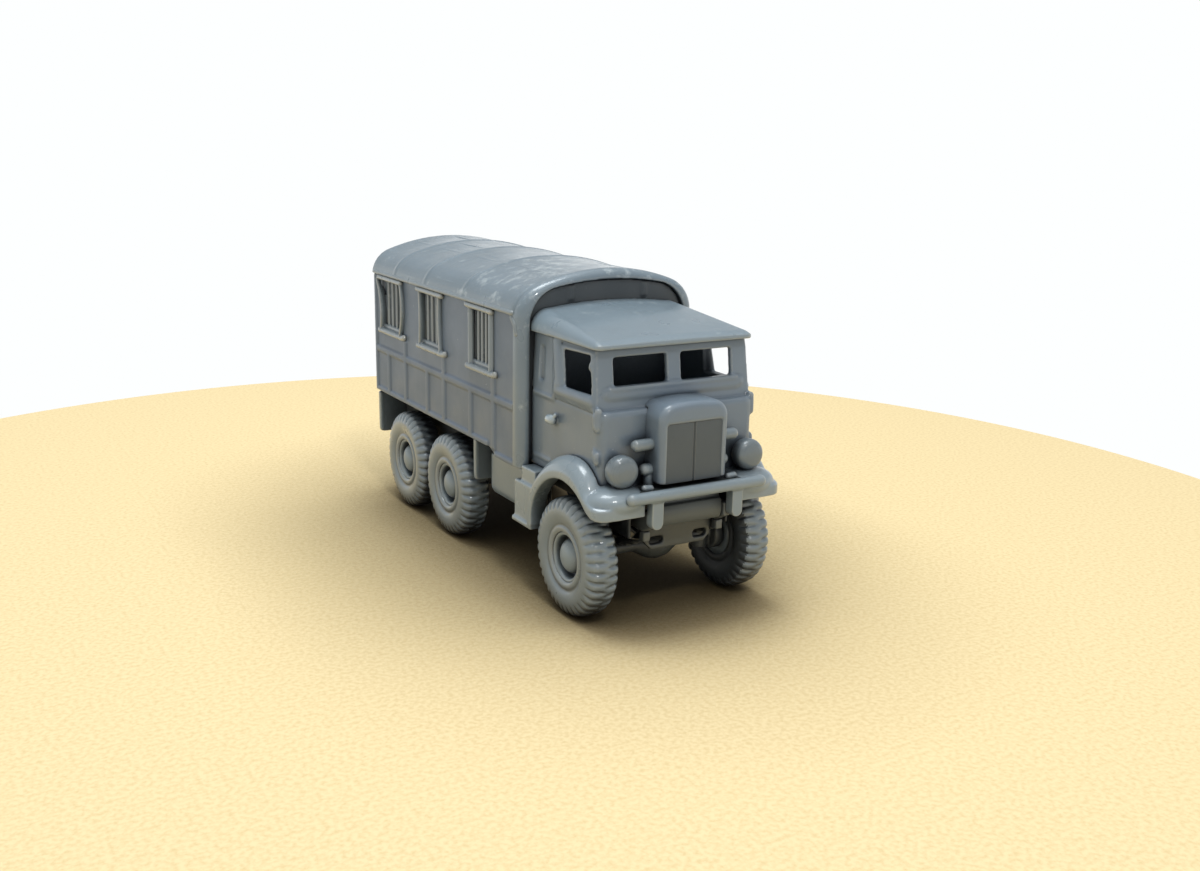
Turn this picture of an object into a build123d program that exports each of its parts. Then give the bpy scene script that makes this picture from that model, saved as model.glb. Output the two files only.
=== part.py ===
"""Cast resin scale model, 1:72, of a military truck with three axles and a closed house body.

Millimetres at the model's own size. The front faces -Y, the vehicle's right side is -X,
up is +Z, the wheels stand on Z = 0, and the origin is on the ground at the middle of the
model's length and width. Pieces that come in pairs are made on the right and mirrored.
"""

import os
from math import cos, radians, sin

from build123d import *

os.makedirs("parts", exist_ok=True)

# ---------------------------------------------------------------- driving sizes
FRONT_AXLE_Y = -32.2
MIDDLE_AXLE_Y = 10.6
REAR_AXLE_Y = 29.6

TYRE_RADIUS = 9.1
TYRE_WIDTH = 5.2
TYRE_OUTER_X = 16.3          # outer sidewall plane of every wheel
TYRE_SEAT_RADIUS = 3.8       # where the disc's rim fits the tyre
PIN_RADIUS = 1.2             # stub axle
PIN_CLEARANCE = 0.06         # radial running clearance in the wheel's bore
WHEEL_GAP = 0.15             # end clearance between wheel and drum

BODY_HALF_WIDTH = 15.7       # outer face of the house body's side panels
BODY_FRONT_Y = -17.8         # front plane of the rounded front frame
BODY_REAR_Y = 44.0
BODY_WALL = 1.4
BODY_BOTTOM_Z = 20.1
SKIRT_BOTTOM_Z = 18.9        # lower edge of the side panels ahead of the step
SKIRT_STEP_Y = -7.4          # where that step starts
SKIRT_STEP_RUN = 1.3
EAVE_Z = 43.3
EAVE_PROUD = 0.5             # eave outside the side panels
EAVE_LIP = 0.4               # how far it hangs over them
ROOF_TOP_Z = 49.7
ROOF_WALL = 1.0
FRONT_FRAME_DEPTH = 2.4
FRONT_FRAME_ROUND = 1.6      # roll of its outer front edge
BULKHEAD_SET_BACK = 0.8      # bulkhead face behind the front frame's face
BULKHEAD_WALL = 0.9

CAB_HALF_WIDTH = 13.55
CAB_TOP_HALF_WIDTH = 13.1
CAB_FRONT_Y = -38.2          # lower front panels
SCUTTLE_Y = -36.9            # front plane at the foot of the windscreen
WINDSCREEN_TOP_Y = -35.8
CAB_BOTTOM_Z = 19.8
CAB_BOX_TOP_Z = 32.0         # top of the lower front panels
CAB_TOP_Z = 40.7
CAB_WALL = 1.0
CAB_FLOOR = 1.0

CHASSIS_RAIL_X = 6.5
RAIL_WIDTH = 1.2
RAIL_BOTTOM_Z = 14.0
RAIL_TOP_Z = 17.2
RAIL_FRONT_Y = -42.0
RAIL_REAR_Y = BODY_REAR_Y - 0.8

BUMPER_Y = -43.5
BUMPER_Z = 20.4
BUMPER_HALF_LENGTH = 12.15
BUMPER_RADIUS = 0.88

FIT = 0.05                   # gap left between separate prints that are glued up


def save(part, name):
    """Label one finished piece and write it as a STEP file."""
    part.label = name
    export_step(part, f"parts/{name}.step")


def save_pair(part, name):
    """Write a piece made on the right, and its mirror image on the left."""
    save(part, name + "_right")
    save(mirror(part, about=Plane.YZ), name + "_left")


# ---------------------------------------------------------------- wheels
# depth: distance inwards from the tyre's outer plane
DISC_DEPTH = 2.0             # floor of the ring round the hub dome
DOME_DEPTH = 0.35            # hub dome's highest point
DOME_BASE_DEPTH = 1.3        # where the dome turns into its straight side
DOME_RADIUS = 2.75
HUB_BACK_DEPTH = 4.6
BORE_END_DEPTH = 2.6
RIM_LIP_DEPTH = 0.8
RIM_BARREL = 0.4


def wheel_plane(axle_y):
    """Sketch plane through a wheel's axis: x runs along the axis, y is the radius."""
    return Plane(origin=(0, axle_y, TYRE_RADIUS), x_dir=(1, 0, 0), z_dir=(0, -1, 0))


def wheel_axis(axle_y):
    return Axis((0, axle_y, TYRE_RADIUS), (1, 0, 0))


def make_tyre(axle_y):
    """Tyre carcass as one revolve: bead ring, bulged sidewalls, rounded shoulders, crown."""
    outer = -TYRE_OUTER_X
    inner = outer + TYRE_WIDTH
    middle = (outer + inner) / 2
    bead, step = 0.95, 0.35
    step_radius = TYRE_SEAT_RADIUS + 1.1
    shoulder_radius = TYRE_RADIUS - 0.75
    bulge = (step_radius + shoulder_radius) / 2
    with BuildPart() as tyre:
        with BuildSketch(wheel_plane(axle_y)):
            with BuildLine():
                ThreePointArc(
                    (inner - step, shoulder_radius), (middle, TYRE_RADIUS),
                    (outer + step, shoulder_radius),
                )
                ThreePointArc(
                    (outer + step, shoulder_radius), (outer, bulge), (outer + step, step_radius)
                )
                Polyline(
                    (outer + step, step_radius),
                    (outer + bead, step_radius - 0.25),
                    (outer + bead, TYRE_SEAT_RADIUS),
                    (inner - bead, TYRE_SEAT_RADIUS),
                    (inner, bulge),
                    (inner - step, shoulder_radius),
                )
            make_face()
        revolve(axis=wheel_axis(axle_y))
    return tyre.part


def make_disc(axle_y):
    """Rim, dished disc and domed hub in one, with a blind bore for the stub axle at the back."""
    outer = -TYRE_OUTER_X
    seat = TYRE_SEAT_RADIUS
    bore = PIN_RADIUS + PIN_CLEARANCE
    with BuildPart() as disc:
        with BuildSketch(wheel_plane(axle_y)):
            with BuildLine():
                TangentArc(
                    (outer + DOME_DEPTH, 0),
                    (outer + DOME_BASE_DEPTH, DOME_RADIUS),
                    tangent=(0, 1),
                )
                Polyline(
                    (outer + DOME_BASE_DEPTH, DOME_RADIUS),
                    (outer + DISC_DEPTH, DOME_RADIUS + 0.1),
                    (outer + DISC_DEPTH, seat - RIM_BARREL),
                    (outer + RIM_LIP_DEPTH, seat - RIM_BARREL + 0.15),
                    (outer + RIM_LIP_DEPTH, seat),
                    (outer + HUB_BACK_DEPTH, seat),
                    (outer + HUB_BACK_DEPTH, bore),
                    (outer + BORE_END_DEPTH, bore),
                    (outer + BORE_END_DEPTH, 0),
                    (outer + DOME_DEPTH, 0),
                )
            make_face()
        revolve(axis=wheel_axis(axle_y))
    return disc.part


for axle_name, axle_y in (
    ("front", FRONT_AXLE_Y),
    ("middle", MIDDLE_AXLE_Y),
    ("rear", REAR_AXLE_Y),
):
    save_pair(make_tyre(axle_y), f"tyre_{axle_name}")
    save_pair(make_disc(axle_y), f"disc_{axle_name}")


# ---------------------------------------------------------------- axles
TUBE_RADIUS = 0.95
DIFF_RADIUS = 2.6
DIFF_HALF_WIDTH = 1.7
DRUM_RADIUS = 2.6
DRUM_WIDTH = 1.5
DRUM_FACE_X = TYRE_OUTER_X - HUB_BACK_DEPTH - WHEEL_GAP
PIN_END_X = TYRE_OUTER_X - BORE_END_DEPTH - WHEEL_GAP
KNUCKLE_X = 8.6              # where the front axle's case ends and the swivel begins
SWIVEL_RADIUS = 1.75
NOSE_RADIUS = 1.05           # pinion nose of the differential
NOSE_LENGTH = 4.0


def axle_case(axle_y, end_x, nose_sign):
    """Axle tube with a round differential case and its pinion nose, from -end_x to end_x."""
    with BuildPart() as case:
        with BuildSketch(wheel_plane(axle_y)):
            with BuildLine():
                Polyline(
                    (-end_x, 0),
                    (-end_x, TUBE_RADIUS),
                    (-DIFF_HALF_WIDTH - 2.4, TUBE_RADIUS),
                    (-DIFF_HALF_WIDTH, DIFF_RADIUS - 0.3),
                    (0, DIFF_RADIUS),
                    (DIFF_HALF_WIDTH, DIFF_RADIUS - 0.3),
                    (DIFF_HALF_WIDTH + 2.4, TUBE_RADIUS),
                    (end_x, TUBE_RADIUS),
                    (end_x, 0),
                    (-end_x, 0),
                )
            make_face()
        revolve(axis=wheel_axis(axle_y))
        nose_plane = Plane(origin=(0, axle_y, TYRE_RADIUS), z_dir=(0, nose_sign, 0))
        with BuildSketch(nose_plane):
            Circle(NOSE_RADIUS)
        extrude(amount=NOSE_LENGTH)
    return case


def drum_and_pin(axle_y, start_x):
    """Brake drum and the stub pin the wheel turns on, right side, starting at -start_x."""
    with BuildPart() as drum:
        with BuildSketch(wheel_plane(axle_y)):
            with BuildLine():
                Polyline(
                    (-start_x, 0),
                    (-start_x, TUBE_RADIUS),
                    (-DRUM_FACE_X + DRUM_WIDTH, TUBE_RADIUS),
                    (-DRUM_FACE_X + DRUM_WIDTH, DRUM_RADIUS),
                    (-DRUM_FACE_X, DRUM_RADIUS),
                    (-DRUM_FACE_X, PIN_RADIUS),
                    (-PIN_END_X, PIN_RADIUS),
                    (-PIN_END_X, 0),
                    (-start_x, 0),
                )
            make_face()
        revolve(axis=wheel_axis(axle_y))
    return drum


for axle_name, axle_y, nose_sign in (
    ("front", FRONT_AXLE_Y, 1),
    ("middle", MIDDLE_AXLE_Y, -1),
    ("rear", REAR_AXLE_Y, -1),
):
    end = drum_and_pin(axle_y, KNUCKLE_X).part
    with BuildPart() as whole_axle:
        add(axle_case(axle_y, KNUCKLE_X, nose_sign).part)
        add(end)
        add(mirror(end, about=Plane.YZ))
        if axle_name == "front":
            with Locations(*[(sign * KNUCKLE_X, axle_y, TYRE_RADIUS) for sign in (-1, 1)]):
                Cylinder(SWIVEL_RADIUS * 0.75, SWIVEL_RADIUS * 2.3)
    save(whole_axle.part, f"{axle_name}_axle")


# ---------------------------------------------------------------- chassis
# crossmembers: y of the middle of each one between the two rails
CROSSMEMBER_Y = (-25.0, -17.5, -5.0, 9.0, 20.1, 31.2, RAIL_REAR_Y - 3.2)
CROSSMEMBER_LENGTH = 1.4
CROSSMEMBER_BOTTOM_Z = 14.5
CROSSMEMBER_TOP_Z = 16.7
RAIL_INNER_X = CHASSIS_RAIL_X - RAIL_WIDTH / 2
FRONT_PLATE_Y = -38.3
FRONT_PLATE_THICK = 1.0
FRONT_PLATE_BOTTOM_Z = 10.5
FRONT_PLATE_CORNER = 1.2
FRONT_SLOT_X = 3.9

with BuildPart() as rail:
    with BuildSketch(Plane.YZ.offset(-CHASSIS_RAIL_X)):
        with BuildLine():
            Polyline(
                (RAIL_FRONT_Y, 15.2),
                (RAIL_FRONT_Y + 2.2, RAIL_BOTTOM_Z),
                (RAIL_REAR_Y, RAIL_BOTTOM_Z),
                (RAIL_REAR_Y, RAIL_TOP_Z),
                (RAIL_FRONT_Y, RAIL_TOP_Z),
                (RAIL_FRONT_Y, 15.2),
            )
        make_face()
    extrude(amount=RAIL_WIDTH / 2, both=True)
save_pair(rail.part, "chassis_rail")

with BuildPart() as crossmembers:
    for y in CROSSMEMBER_Y:
        with Locations((0, y, (CROSSMEMBER_BOTTOM_Z + CROSSMEMBER_TOP_Z) / 2)):
            Box(
                2 * RAIL_INNER_X,
                CROSSMEMBER_LENGTH,
                CROSSMEMBER_TOP_Z - CROSSMEMBER_BOTTOM_Z,
            )
    # deep plate between the front springs, with two slots
    with BuildSketch(Plane.XZ.offset(-FRONT_PLATE_Y)):
        with BuildLine():
            Polyline(
                (-RAIL_INNER_X, CROSSMEMBER_TOP_Z),
                (-RAIL_INNER_X, FRONT_PLATE_BOTTOM_Z + FRONT_PLATE_CORNER),
                (-RAIL_INNER_X + FRONT_PLATE_CORNER, FRONT_PLATE_BOTTOM_Z),
                (RAIL_INNER_X - FRONT_PLATE_CORNER, FRONT_PLATE_BOTTOM_Z),
                (RAIL_INNER_X, FRONT_PLATE_BOTTOM_Z + FRONT_PLATE_CORNER),
                (RAIL_INNER_X, CROSSMEMBER_TOP_Z),
                (-RAIL_INNER_X, CROSSMEMBER_TOP_Z),
            )
        make_face()
        slot_z = FRONT_PLATE_BOTTOM_Z + 1.4
        with Locations((-FRONT_SLOT_X, slot_z), (FRONT_SLOT_X, slot_z)):
            RectangleRounded(2.6, 1.2, 0.5, mode=Mode.SUBTRACT)
    extrude(amount=FRONT_PLATE_THICK / 2, both=True)
save(crossmembers.part, "crossmembers")

# Drawbar plate bolted under the last crossmember, with a vertical hole for a tow pin.
TOW_HOLE_RADIUS = 0.7
TOW_PLATE_THICK = 1.2
TOW_HOLE_Y = RAIL_REAR_Y - 0.6
with BuildPart() as tow_plate:
    with BuildSketch(Plane.XY.offset(CROSSMEMBER_BOTTOM_Z - TOW_PLATE_THICK)):
        with Locations((0, TOW_HOLE_Y)):
            Circle(1.65)
        with Locations((0, TOW_HOLE_Y - 2.5)):
            Rectangle(3.3, 5.0)
        with Locations((0, TOW_HOLE_Y)):
            Circle(TOW_HOLE_RADIUS, mode=Mode.SUBTRACT)
    extrude(amount=TOW_PLATE_THICK)
save(tow_plate.part, "tow_plate")


# ---------------------------------------------------------------- springs
SPRING_WIDTH = 1.2
LEAF_THICK = 0.42
AXLE_TOP_Z = TYRE_RADIUS + TUBE_RADIUS


def leaf(y_mid, z_mid, half_length, rise):
    """Outline of one leaf: a curved strip, LEAF_THICK deep, its ends raised by rise."""
    left, right, end = y_mid - half_length, y_mid + half_length, z_mid + rise
    with BuildLine() as outline:
        ThreePointArc((left, end), (y_mid, z_mid), (right, end))
        Line((right, end), (right, end + LEAF_THICK))
        ThreePointArc((right, end + LEAF_THICK), (y_mid, z_mid + LEAF_THICK),
                      (left, end + LEAF_THICK))
        Line((left, end + LEAF_THICK), (left, end))
    return outline.edges()


# leaves from the axle up: (half length, rise at the ends)
FRONT_LEAVES = ((3.0, 0.25), (5.2, 0.75), (7.4, 1.5))
FRONT_SPRING_Z = AXLE_TOP_Z + FIT
with BuildPart() as front_spring:
    with BuildSketch(Plane.YZ.offset(-CHASSIS_RAIL_X)):
        for count, (half_length, rise) in enumerate(FRONT_LEAVES):
            make_face(leaf(FRONT_AXLE_Y, FRONT_SPRING_Z + count * LEAF_THICK, half_length, rise))
        # hangers that carry the main leaf's ends under the rail
        eye_z = FRONT_SPRING_Z + 2 * LEAF_THICK + FRONT_LEAVES[-1][1]
        for sign in (-1, 1):
            y = FRONT_AXLE_Y + sign * FRONT_LEAVES[-1][0]
            with Locations((y, (eye_z + RAIL_BOTTOM_Z) / 2)):
                Rectangle(1.3, RAIL_BOTTOM_Z - eye_z)
    extrude(amount=SPRING_WIDTH / 2, both=True)
save_pair(front_spring.part, "front_spring")

BOGIE_MID_Y = (MIDDLE_AXLE_Y + REAR_AXLE_Y) / 2
BOGIE_HALF = (REAR_AXLE_Y - MIDDLE_AXLE_Y) / 2
# inverted leaves from the axles up: (half length, drop at the ends)
BOGIE_LEAVES = ((BOGIE_HALF + 0.8, 1.15), (7.0, 0.62), (4.2, 0.22))
with BuildPart() as bogie_spring:
    with BuildSketch(Plane.YZ.offset(-CHASSIS_RAIL_X)):
        for count, (half_length, drop) in enumerate(BOGIE_LEAVES):
            z = AXLE_TOP_Z + FIT + BOGIE_LEAVES[0][1] * 0.88 + count * LEAF_THICK
            make_face(leaf(BOGIE_MID_Y, z, half_length, -drop))
        # trunnion bracket from the spring's middle up to the rail
        bracket_bottom = AXLE_TOP_Z + FIT + BOGIE_LEAVES[0][1] * 0.88
        with BuildLine():
            Polyline(
                (BOGIE_MID_Y - 1.3, bracket_bottom),
                (BOGIE_MID_Y + 1.3, bracket_bottom),
                (BOGIE_MID_Y + 2.6, RAIL_BOTTOM_Z),
                (BOGIE_MID_Y - 2.6, RAIL_BOTTOM_Z),
                (BOGIE_MID_Y - 1.3, bracket_bottom),
            )
        make_face()
    extrude(amount=SPRING_WIDTH / 2, both=True)
save_pair(bogie_spring.part, "bogie_spring")


# ---------------------------------------------------------------- drive line
GEARBOX_Y = 0.0
GEARBOX_SIZE = (5.6, 6.4, 4.6)
GEARBOX_Z = 13.2
SHAFT_RADIUS = 0.5

with BuildPart() as transfer_box:
    with Locations((0, GEARBOX_Y, GEARBOX_Z)):
        Box(*GEARBOX_SIZE)
    chamfer(transfer_box.edges().filter_by(Axis.Z), 0.7)
    chamfer(transfer_box.edges().group_by(Axis.Z)[0], 0.5)
    # hanger ears out to the two rails
    with Locations((0, GEARBOX_Y, 15.1)):
        Box(2 * RAIL_INNER_X, 1.6, 0.8)
save(transfer_box.part, "transfer_box")

SUMP_Y = -32.0
SUMP_SIZE = (5.2, 9.6, 3.4)
SUMP_BOTTOM_Z = 12.9
with BuildPart() as engine:
    with Locations((0, SUMP_Y, SUMP_BOTTOM_Z + SUMP_SIZE[2] / 2)):
        Box(*SUMP_SIZE)
    fillet(engine.edges().group_by(Axis.Z)[0], 0.8)
    with Locations((0, SUMP_Y, (SUMP_BOTTOM_Z + SUMP_SIZE[2] + CAB_BOTTOM_Z) / 2)):
        Box(7.0, 8.0, CAB_BOTTOM_Z - SUMP_BOTTOM_Z - SUMP_SIZE[2])
save(engine.part, "engine_block")


def shaft(start, end):
    """One propeller shaft between two points (y, z) on the centre line."""
    run = Vector(0, *end) - Vector(0, *start)
    with BuildPart() as rod:
        with BuildSketch(Plane(origin=Vector(0, *start), z_dir=run)):
            Circle(SHAFT_RADIUS)
        extrude(amount=run.length)
    return rod.part


GEARBOX_FRONT_Y = GEARBOX_Y - GEARBOX_SIZE[1] / 2
GEARBOX_BACK_Y = GEARBOX_Y + GEARBOX_SIZE[1] / 2
with BuildPart() as shafts:
    add(shaft((GEARBOX_FRONT_Y - 0.1, 11.9), (FRONT_AXLE_Y + NOSE_LENGTH + 0.3, TYRE_RADIUS)))
    add(shaft((GEARBOX_BACK_Y + 0.1, 11.3), (MIDDLE_AXLE_Y - NOSE_LENGTH - 0.3, TYRE_RADIUS + 0.3)))
    add(shaft((MIDDLE_AXLE_Y + DIFF_RADIUS + 0.3, TYRE_RADIUS + 0.4),
              (REAR_AXLE_Y - NOSE_LENGTH - 0.1, TYRE_RADIUS)))
save(shafts.part, "propeller_shafts")


# ---------------------------------------------------------------- front end
APRON_Y = -41.7               # foremost line of its rolled lower part
APRON_THICK = 1.0
APRON_BOTTOM_Z = 14.7
APRON_FOLD_Z = 18.0           # fold between the rolled part and the flat strip above it
APRON_TOP_Z = 19.2

with BuildPart() as apron:
    back = APRON_Y + 2 * APRON_THICK
    with BuildSketch(Plane.YZ.offset(-RAIL_INNER_X + FIT)):
        with BuildLine():
            ThreePointArc(
                (APRON_Y + 0.45, APRON_FOLD_Z),
                (APRON_Y, (APRON_FOLD_Z + APRON_BOTTOM_Z) / 2),
                (APRON_Y + 0.7, APRON_BOTTOM_Z),
            )
            Polyline(
                (APRON_Y + 0.7, APRON_BOTTOM_Z),
                (back, APRON_BOTTOM_Z + 0.3),
                (back, APRON_TOP_Z),
                (APRON_Y + APRON_THICK, APRON_TOP_Z),
                (APRON_Y + 0.85, APRON_FOLD_Z),
                (APRON_Y + 0.45, APRON_FOLD_Z),
            )
        make_face()
    extrude(amount=2 * (RAIL_INNER_X - FIT))
save(apron.part, "front_apron")

BRACKET_X = 7.05
BRACKET_WIDTH = 1.9
BRACKET_BOTTOM_Z = 15.4
BRACKET_FRONT_Y = BUMPER_Y - 0.3
BRACKET_BACK_Y = RAIL_FRONT_Y - FIT
with BuildPart() as bumper:
    with BuildSketch(Plane.YZ.offset(-BUMPER_HALF_LENGTH + BUMPER_RADIUS)):
        with Locations((BUMPER_Y, BUMPER_Z)):
            Circle(BUMPER_RADIUS)
    extrude(amount=2 * (BUMPER_HALF_LENGTH - BUMPER_RADIUS))
    ends = [(sign * (BUMPER_HALF_LENGTH - BUMPER_RADIUS), BUMPER_Y, BUMPER_Z) for sign in (-1, 1)]
    with Locations(*ends):
        Sphere(BUMPER_RADIUS)
    # brackets with rounded lower ends
    with BuildSketch(Plane.XZ.offset(-BRACKET_FRONT_Y)):
        round_z = BRACKET_BOTTOM_Z + BRACKET_WIDTH / 2
        with Locations(*[(sign * BRACKET_X, round_z) for sign in (-1, 1)]):
            Circle(BRACKET_WIDTH / 2)
        with Locations(*[(sign * BRACKET_X, (round_z + BUMPER_Z) / 2) for sign in (-1, 1)]):
            Rectangle(BRACKET_WIDTH, BUMPER_Z - round_z)
    extrude(amount=-(BRACKET_BACK_Y - BRACKET_FRONT_Y))
save(bumper.part, "front_bumper")


# ---------------------------------------------------------------- wings
WING_OUTER_X = 16.55
WING_INNER_X = CAB_HALF_WIDTH + FIT
WING_FRONT_Y = -42.7
SHELF_INNER_X = 8.5          # the wing's front runs inwards under the headlamp
SHELF_BACK_Y = CAB_FRONT_Y - FIT
WING_CORNER = 2.3            # front outer corner in plan
PLATE_OUTER_X = 16.1
PLATE_REAR_Y = -16.3
PLATE_TOP_Z = 17.3
STEP_Z = 10.5
STEP_THICK = 0.8


# how the wing's top rounds off outwards: x, drop of the crown
WING_LAYERS = ((WING_OUTER_X, 2.0), (16.1, 1.2), (15.3, 0.45), (14.4, 0.1), (WING_INNER_X, 0.0))


def wing_outline(x, drop):
    """Wing's side profile at x: wheel arch below, crown above, lowered there by drop."""
    front = WING_FRONT_Y + 0.15 * drop
    with BuildSketch(Plane.YZ.offset(-x)) as outline:
        with BuildLine():
            ThreePointArc((-22.6, 11.2), (-22.85, 14.6), (-24.6, 17.6))
            ThreePointArc((-24.6, 17.6), (-31.6, 21.05), (-38.6, 18.55))
            ThreePointArc((-38.6, 18.55), (-40.4, 17.6), (front, 17.3))
            Line((front, 17.3), (front, 19.1 - 0.2 * drop))
            ThreePointArc((front, 19.1 - 0.2 * drop), (-40.4, 19.7 - 0.3 * drop),
                          (-38.5 + 0.3 * drop, 21.2 - 0.5 * drop))
            ThreePointArc((-38.5 + 0.3 * drop, 21.2 - 0.5 * drop),
                          (-36.2 + 0.3 * drop, 23.45 - 0.8 * drop), (-32.6, 24.4 - drop))
            ThreePointArc((-32.6, 24.4 - drop), (-26.5 - 0.4 * drop, 22.9 - 0.9 * drop),
                          (-22.3 - 0.4 * drop, 18.6 - 0.4 * drop))
            ThreePointArc((-22.3 - 0.4 * drop, 18.6 - 0.4 * drop), (-21.1 - 0.3 * drop, 15.0),
                          (-20.9 - 0.3 * drop, 11.2))
            Line((-20.9 - 0.3 * drop, 11.2), (-22.6, 11.2))
        make_face()
    return outline.sketch


with BuildPart() as wing_band:
    for x, drop in WING_LAYERS:
        add(wing_outline(x, drop))
    loft(ruled=True)


def corner_cutter(x, y, radius, z_low, z_high):
    """Solid that rounds the upright corner at (-x, y), front right, to the radius."""
    with BuildPart() as cutter:
        with BuildSketch(Plane.XY.offset(z_low)):
            with Locations((-x + radius / 2 - 0.5, y + radius / 2 - 0.5)):
                Rectangle(radius + 1, radius + 1)
            with Locations((-x + radius, y + radius)):
                Circle(radius, mode=Mode.SUBTRACT)
        extrude(amount=z_high - z_low)
    return cutter.part


# shelf under the headlamp
with BuildPart() as wing_shelf:
    add(wing_outline(WING_INNER_X, 0))
    extrude(amount=WING_INNER_X - SHELF_INNER_X, dir=(1, 0, 0))
    with Locations((-11, SHELF_BACK_Y + 20, 18)):
        Box(20, 40, 20, mode=Mode.SUBTRACT)

# panel behind the wheel, its block under the door and the step: x, y, y, z, z
WING_BOXES = (
    (PLATE_OUTER_X, -22.4, PLATE_REAR_Y, 11.2, PLATE_TOP_Z),
    (PLATE_OUTER_X - 0.4, -22.4, BODY_FRONT_Y - FIT, PLATE_TOP_Z - 0.1, 19.75),
    (PLATE_OUTER_X + 0.4, -22.4, -16.0, STEP_Z, STEP_Z + STEP_THICK),
)
WING_BOX_INNER_X = 12.6
with BuildPart() as wing:
    add(wing_band.part)
    add(wing_shelf.part)
    add(corner_cutter(WING_OUTER_X, WING_FRONT_Y, WING_CORNER, 15, 23), mode=Mode.SUBTRACT)
    for x, y_front, y_rear, z_low, z_high in WING_BOXES:
        with Locations((-(x + WING_BOX_INNER_X) / 2, (y_front + y_rear) / 2, (z_low + z_high) / 2)):
            Box(x - WING_BOX_INNER_X, y_rear - y_front, z_high - z_low)
save_pair(wing.part, "wing")


# ---------------------------------------------------------------- cab
CAB_REAR_Y = BODY_FRONT_Y + BULKHEAD_SET_BACK - FIT
CAB_CORNER = 1.4
PANE_INNER_X, PANE_OUTER_X = 1.2, 10.35
PANE_BOTTOM_Z, PANE_TOP_Z = 35.25, 39.4
# corners (y, z) of the door window's opening
DOOR_WINDOW = ((-27.2, 39.4), (-34.6, 39.75), (-35.6, 34.2), (-27.9, 33.9))
DOOR_WINDOW_LEFT = ((-25.9, 39.4), (-34.6, 39.75), (-35.6, 34.2), (-26.4, 33.9))
# corners of the raised frame round it
DOOR_FRAME = ((-23.6, 39.95), (-35.5, 40.2), (-36.4, 31.8), (-24.2, 31.8))
QUARTER_WINDOW = (-20.1, 36.25, 1.3, 5.3)    # y, z, width, height of the narrow rear recess


def cab_loft(inset, low_z, high_z):
    """Upper cab: tapers in and back from CAB_BOX_TOP_Z to CAB_TOP_Z, inset on all sides."""
    with BuildPart() as block:
        for z in (low_z, high_z):
            up = (z - CAB_BOX_TOP_Z) / (CAB_TOP_Z - CAB_BOX_TOP_Z)
            half = CAB_HALF_WIDTH + (CAB_TOP_HALF_WIDTH - CAB_HALF_WIDTH) * up - inset
            front = SCUTTLE_Y + (WINDSCREEN_TOP_Y - SCUTTLE_Y) * up + inset
            with BuildSketch(Plane.XY.offset(z)):
                with Locations((0, (front + CAB_REAR_Y - inset) / 2)):
                    Rectangle(2 * half, CAB_REAR_Y - inset - front)
        loft(ruled=True)
    return block.part


side_rise = Vector(CAB_HALF_WIDTH - CAB_TOP_HALF_WIDTH, 0, CAB_TOP_Z - CAB_BOX_TOP_Z)
side_out = Vector(-side_rise.Z, 0, side_rise.X).normalized()
DOOR_PLANE = Plane(
    origin=(-CAB_HALF_WIDTH, 0, CAB_BOX_TOP_Z), x_dir=(0, -1, 0), z_dir=side_out
)


def on_door(points):
    """Outline through points (y, z) of the sloping upper side, closed, in its plane."""
    flat = [(-y, z - CAB_BOX_TOP_Z) for y, z in points]
    with BuildLine() as outline:
        Polyline(*flat, flat[0])
    return outline.edges()


with BuildPart() as raised:
    with BuildSketch(DOOR_PLANE):
        make_face(on_door(DOOR_FRAME))
    extrude(amount=0.3)
    # moulding at the waist behind the door window, lower moulding and the two hinges
    with Locations((-CAB_HALF_WIDTH, (-17.8 - 24.7) / 2, 31.5)):
        Box(0.5, 6.9, 0.5)
    with Locations((-CAB_HALF_WIDTH, (-18.0 - 23.4) / 2, 21.5)):
        Box(0.3, 5.4, 0.5)
    for z_low, z_high in ((29.3, 31.6), (24.8, 26.3)):
        with Locations((-CAB_HALF_WIDTH - 0.05, -36.7, (z_low + z_high) / 2)):
            Cylinder(0.45, z_high - z_low)
    # door handle: a round knob on a short neck
    with BuildSketch(Plane.YZ.offset(-CAB_HALF_WIDTH + 0.3)):
        with Locations((-25.1, 28.4)):
            Circle(0.45)
    extrude(amount=-0.8)
    with BuildSketch(Plane.YZ.offset(-CAB_HALF_WIDTH - 0.4)):
        with Locations((-25.1, 28.4)):
            Circle(0.7)
    extrude(amount=-0.8, taper=12)

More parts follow.
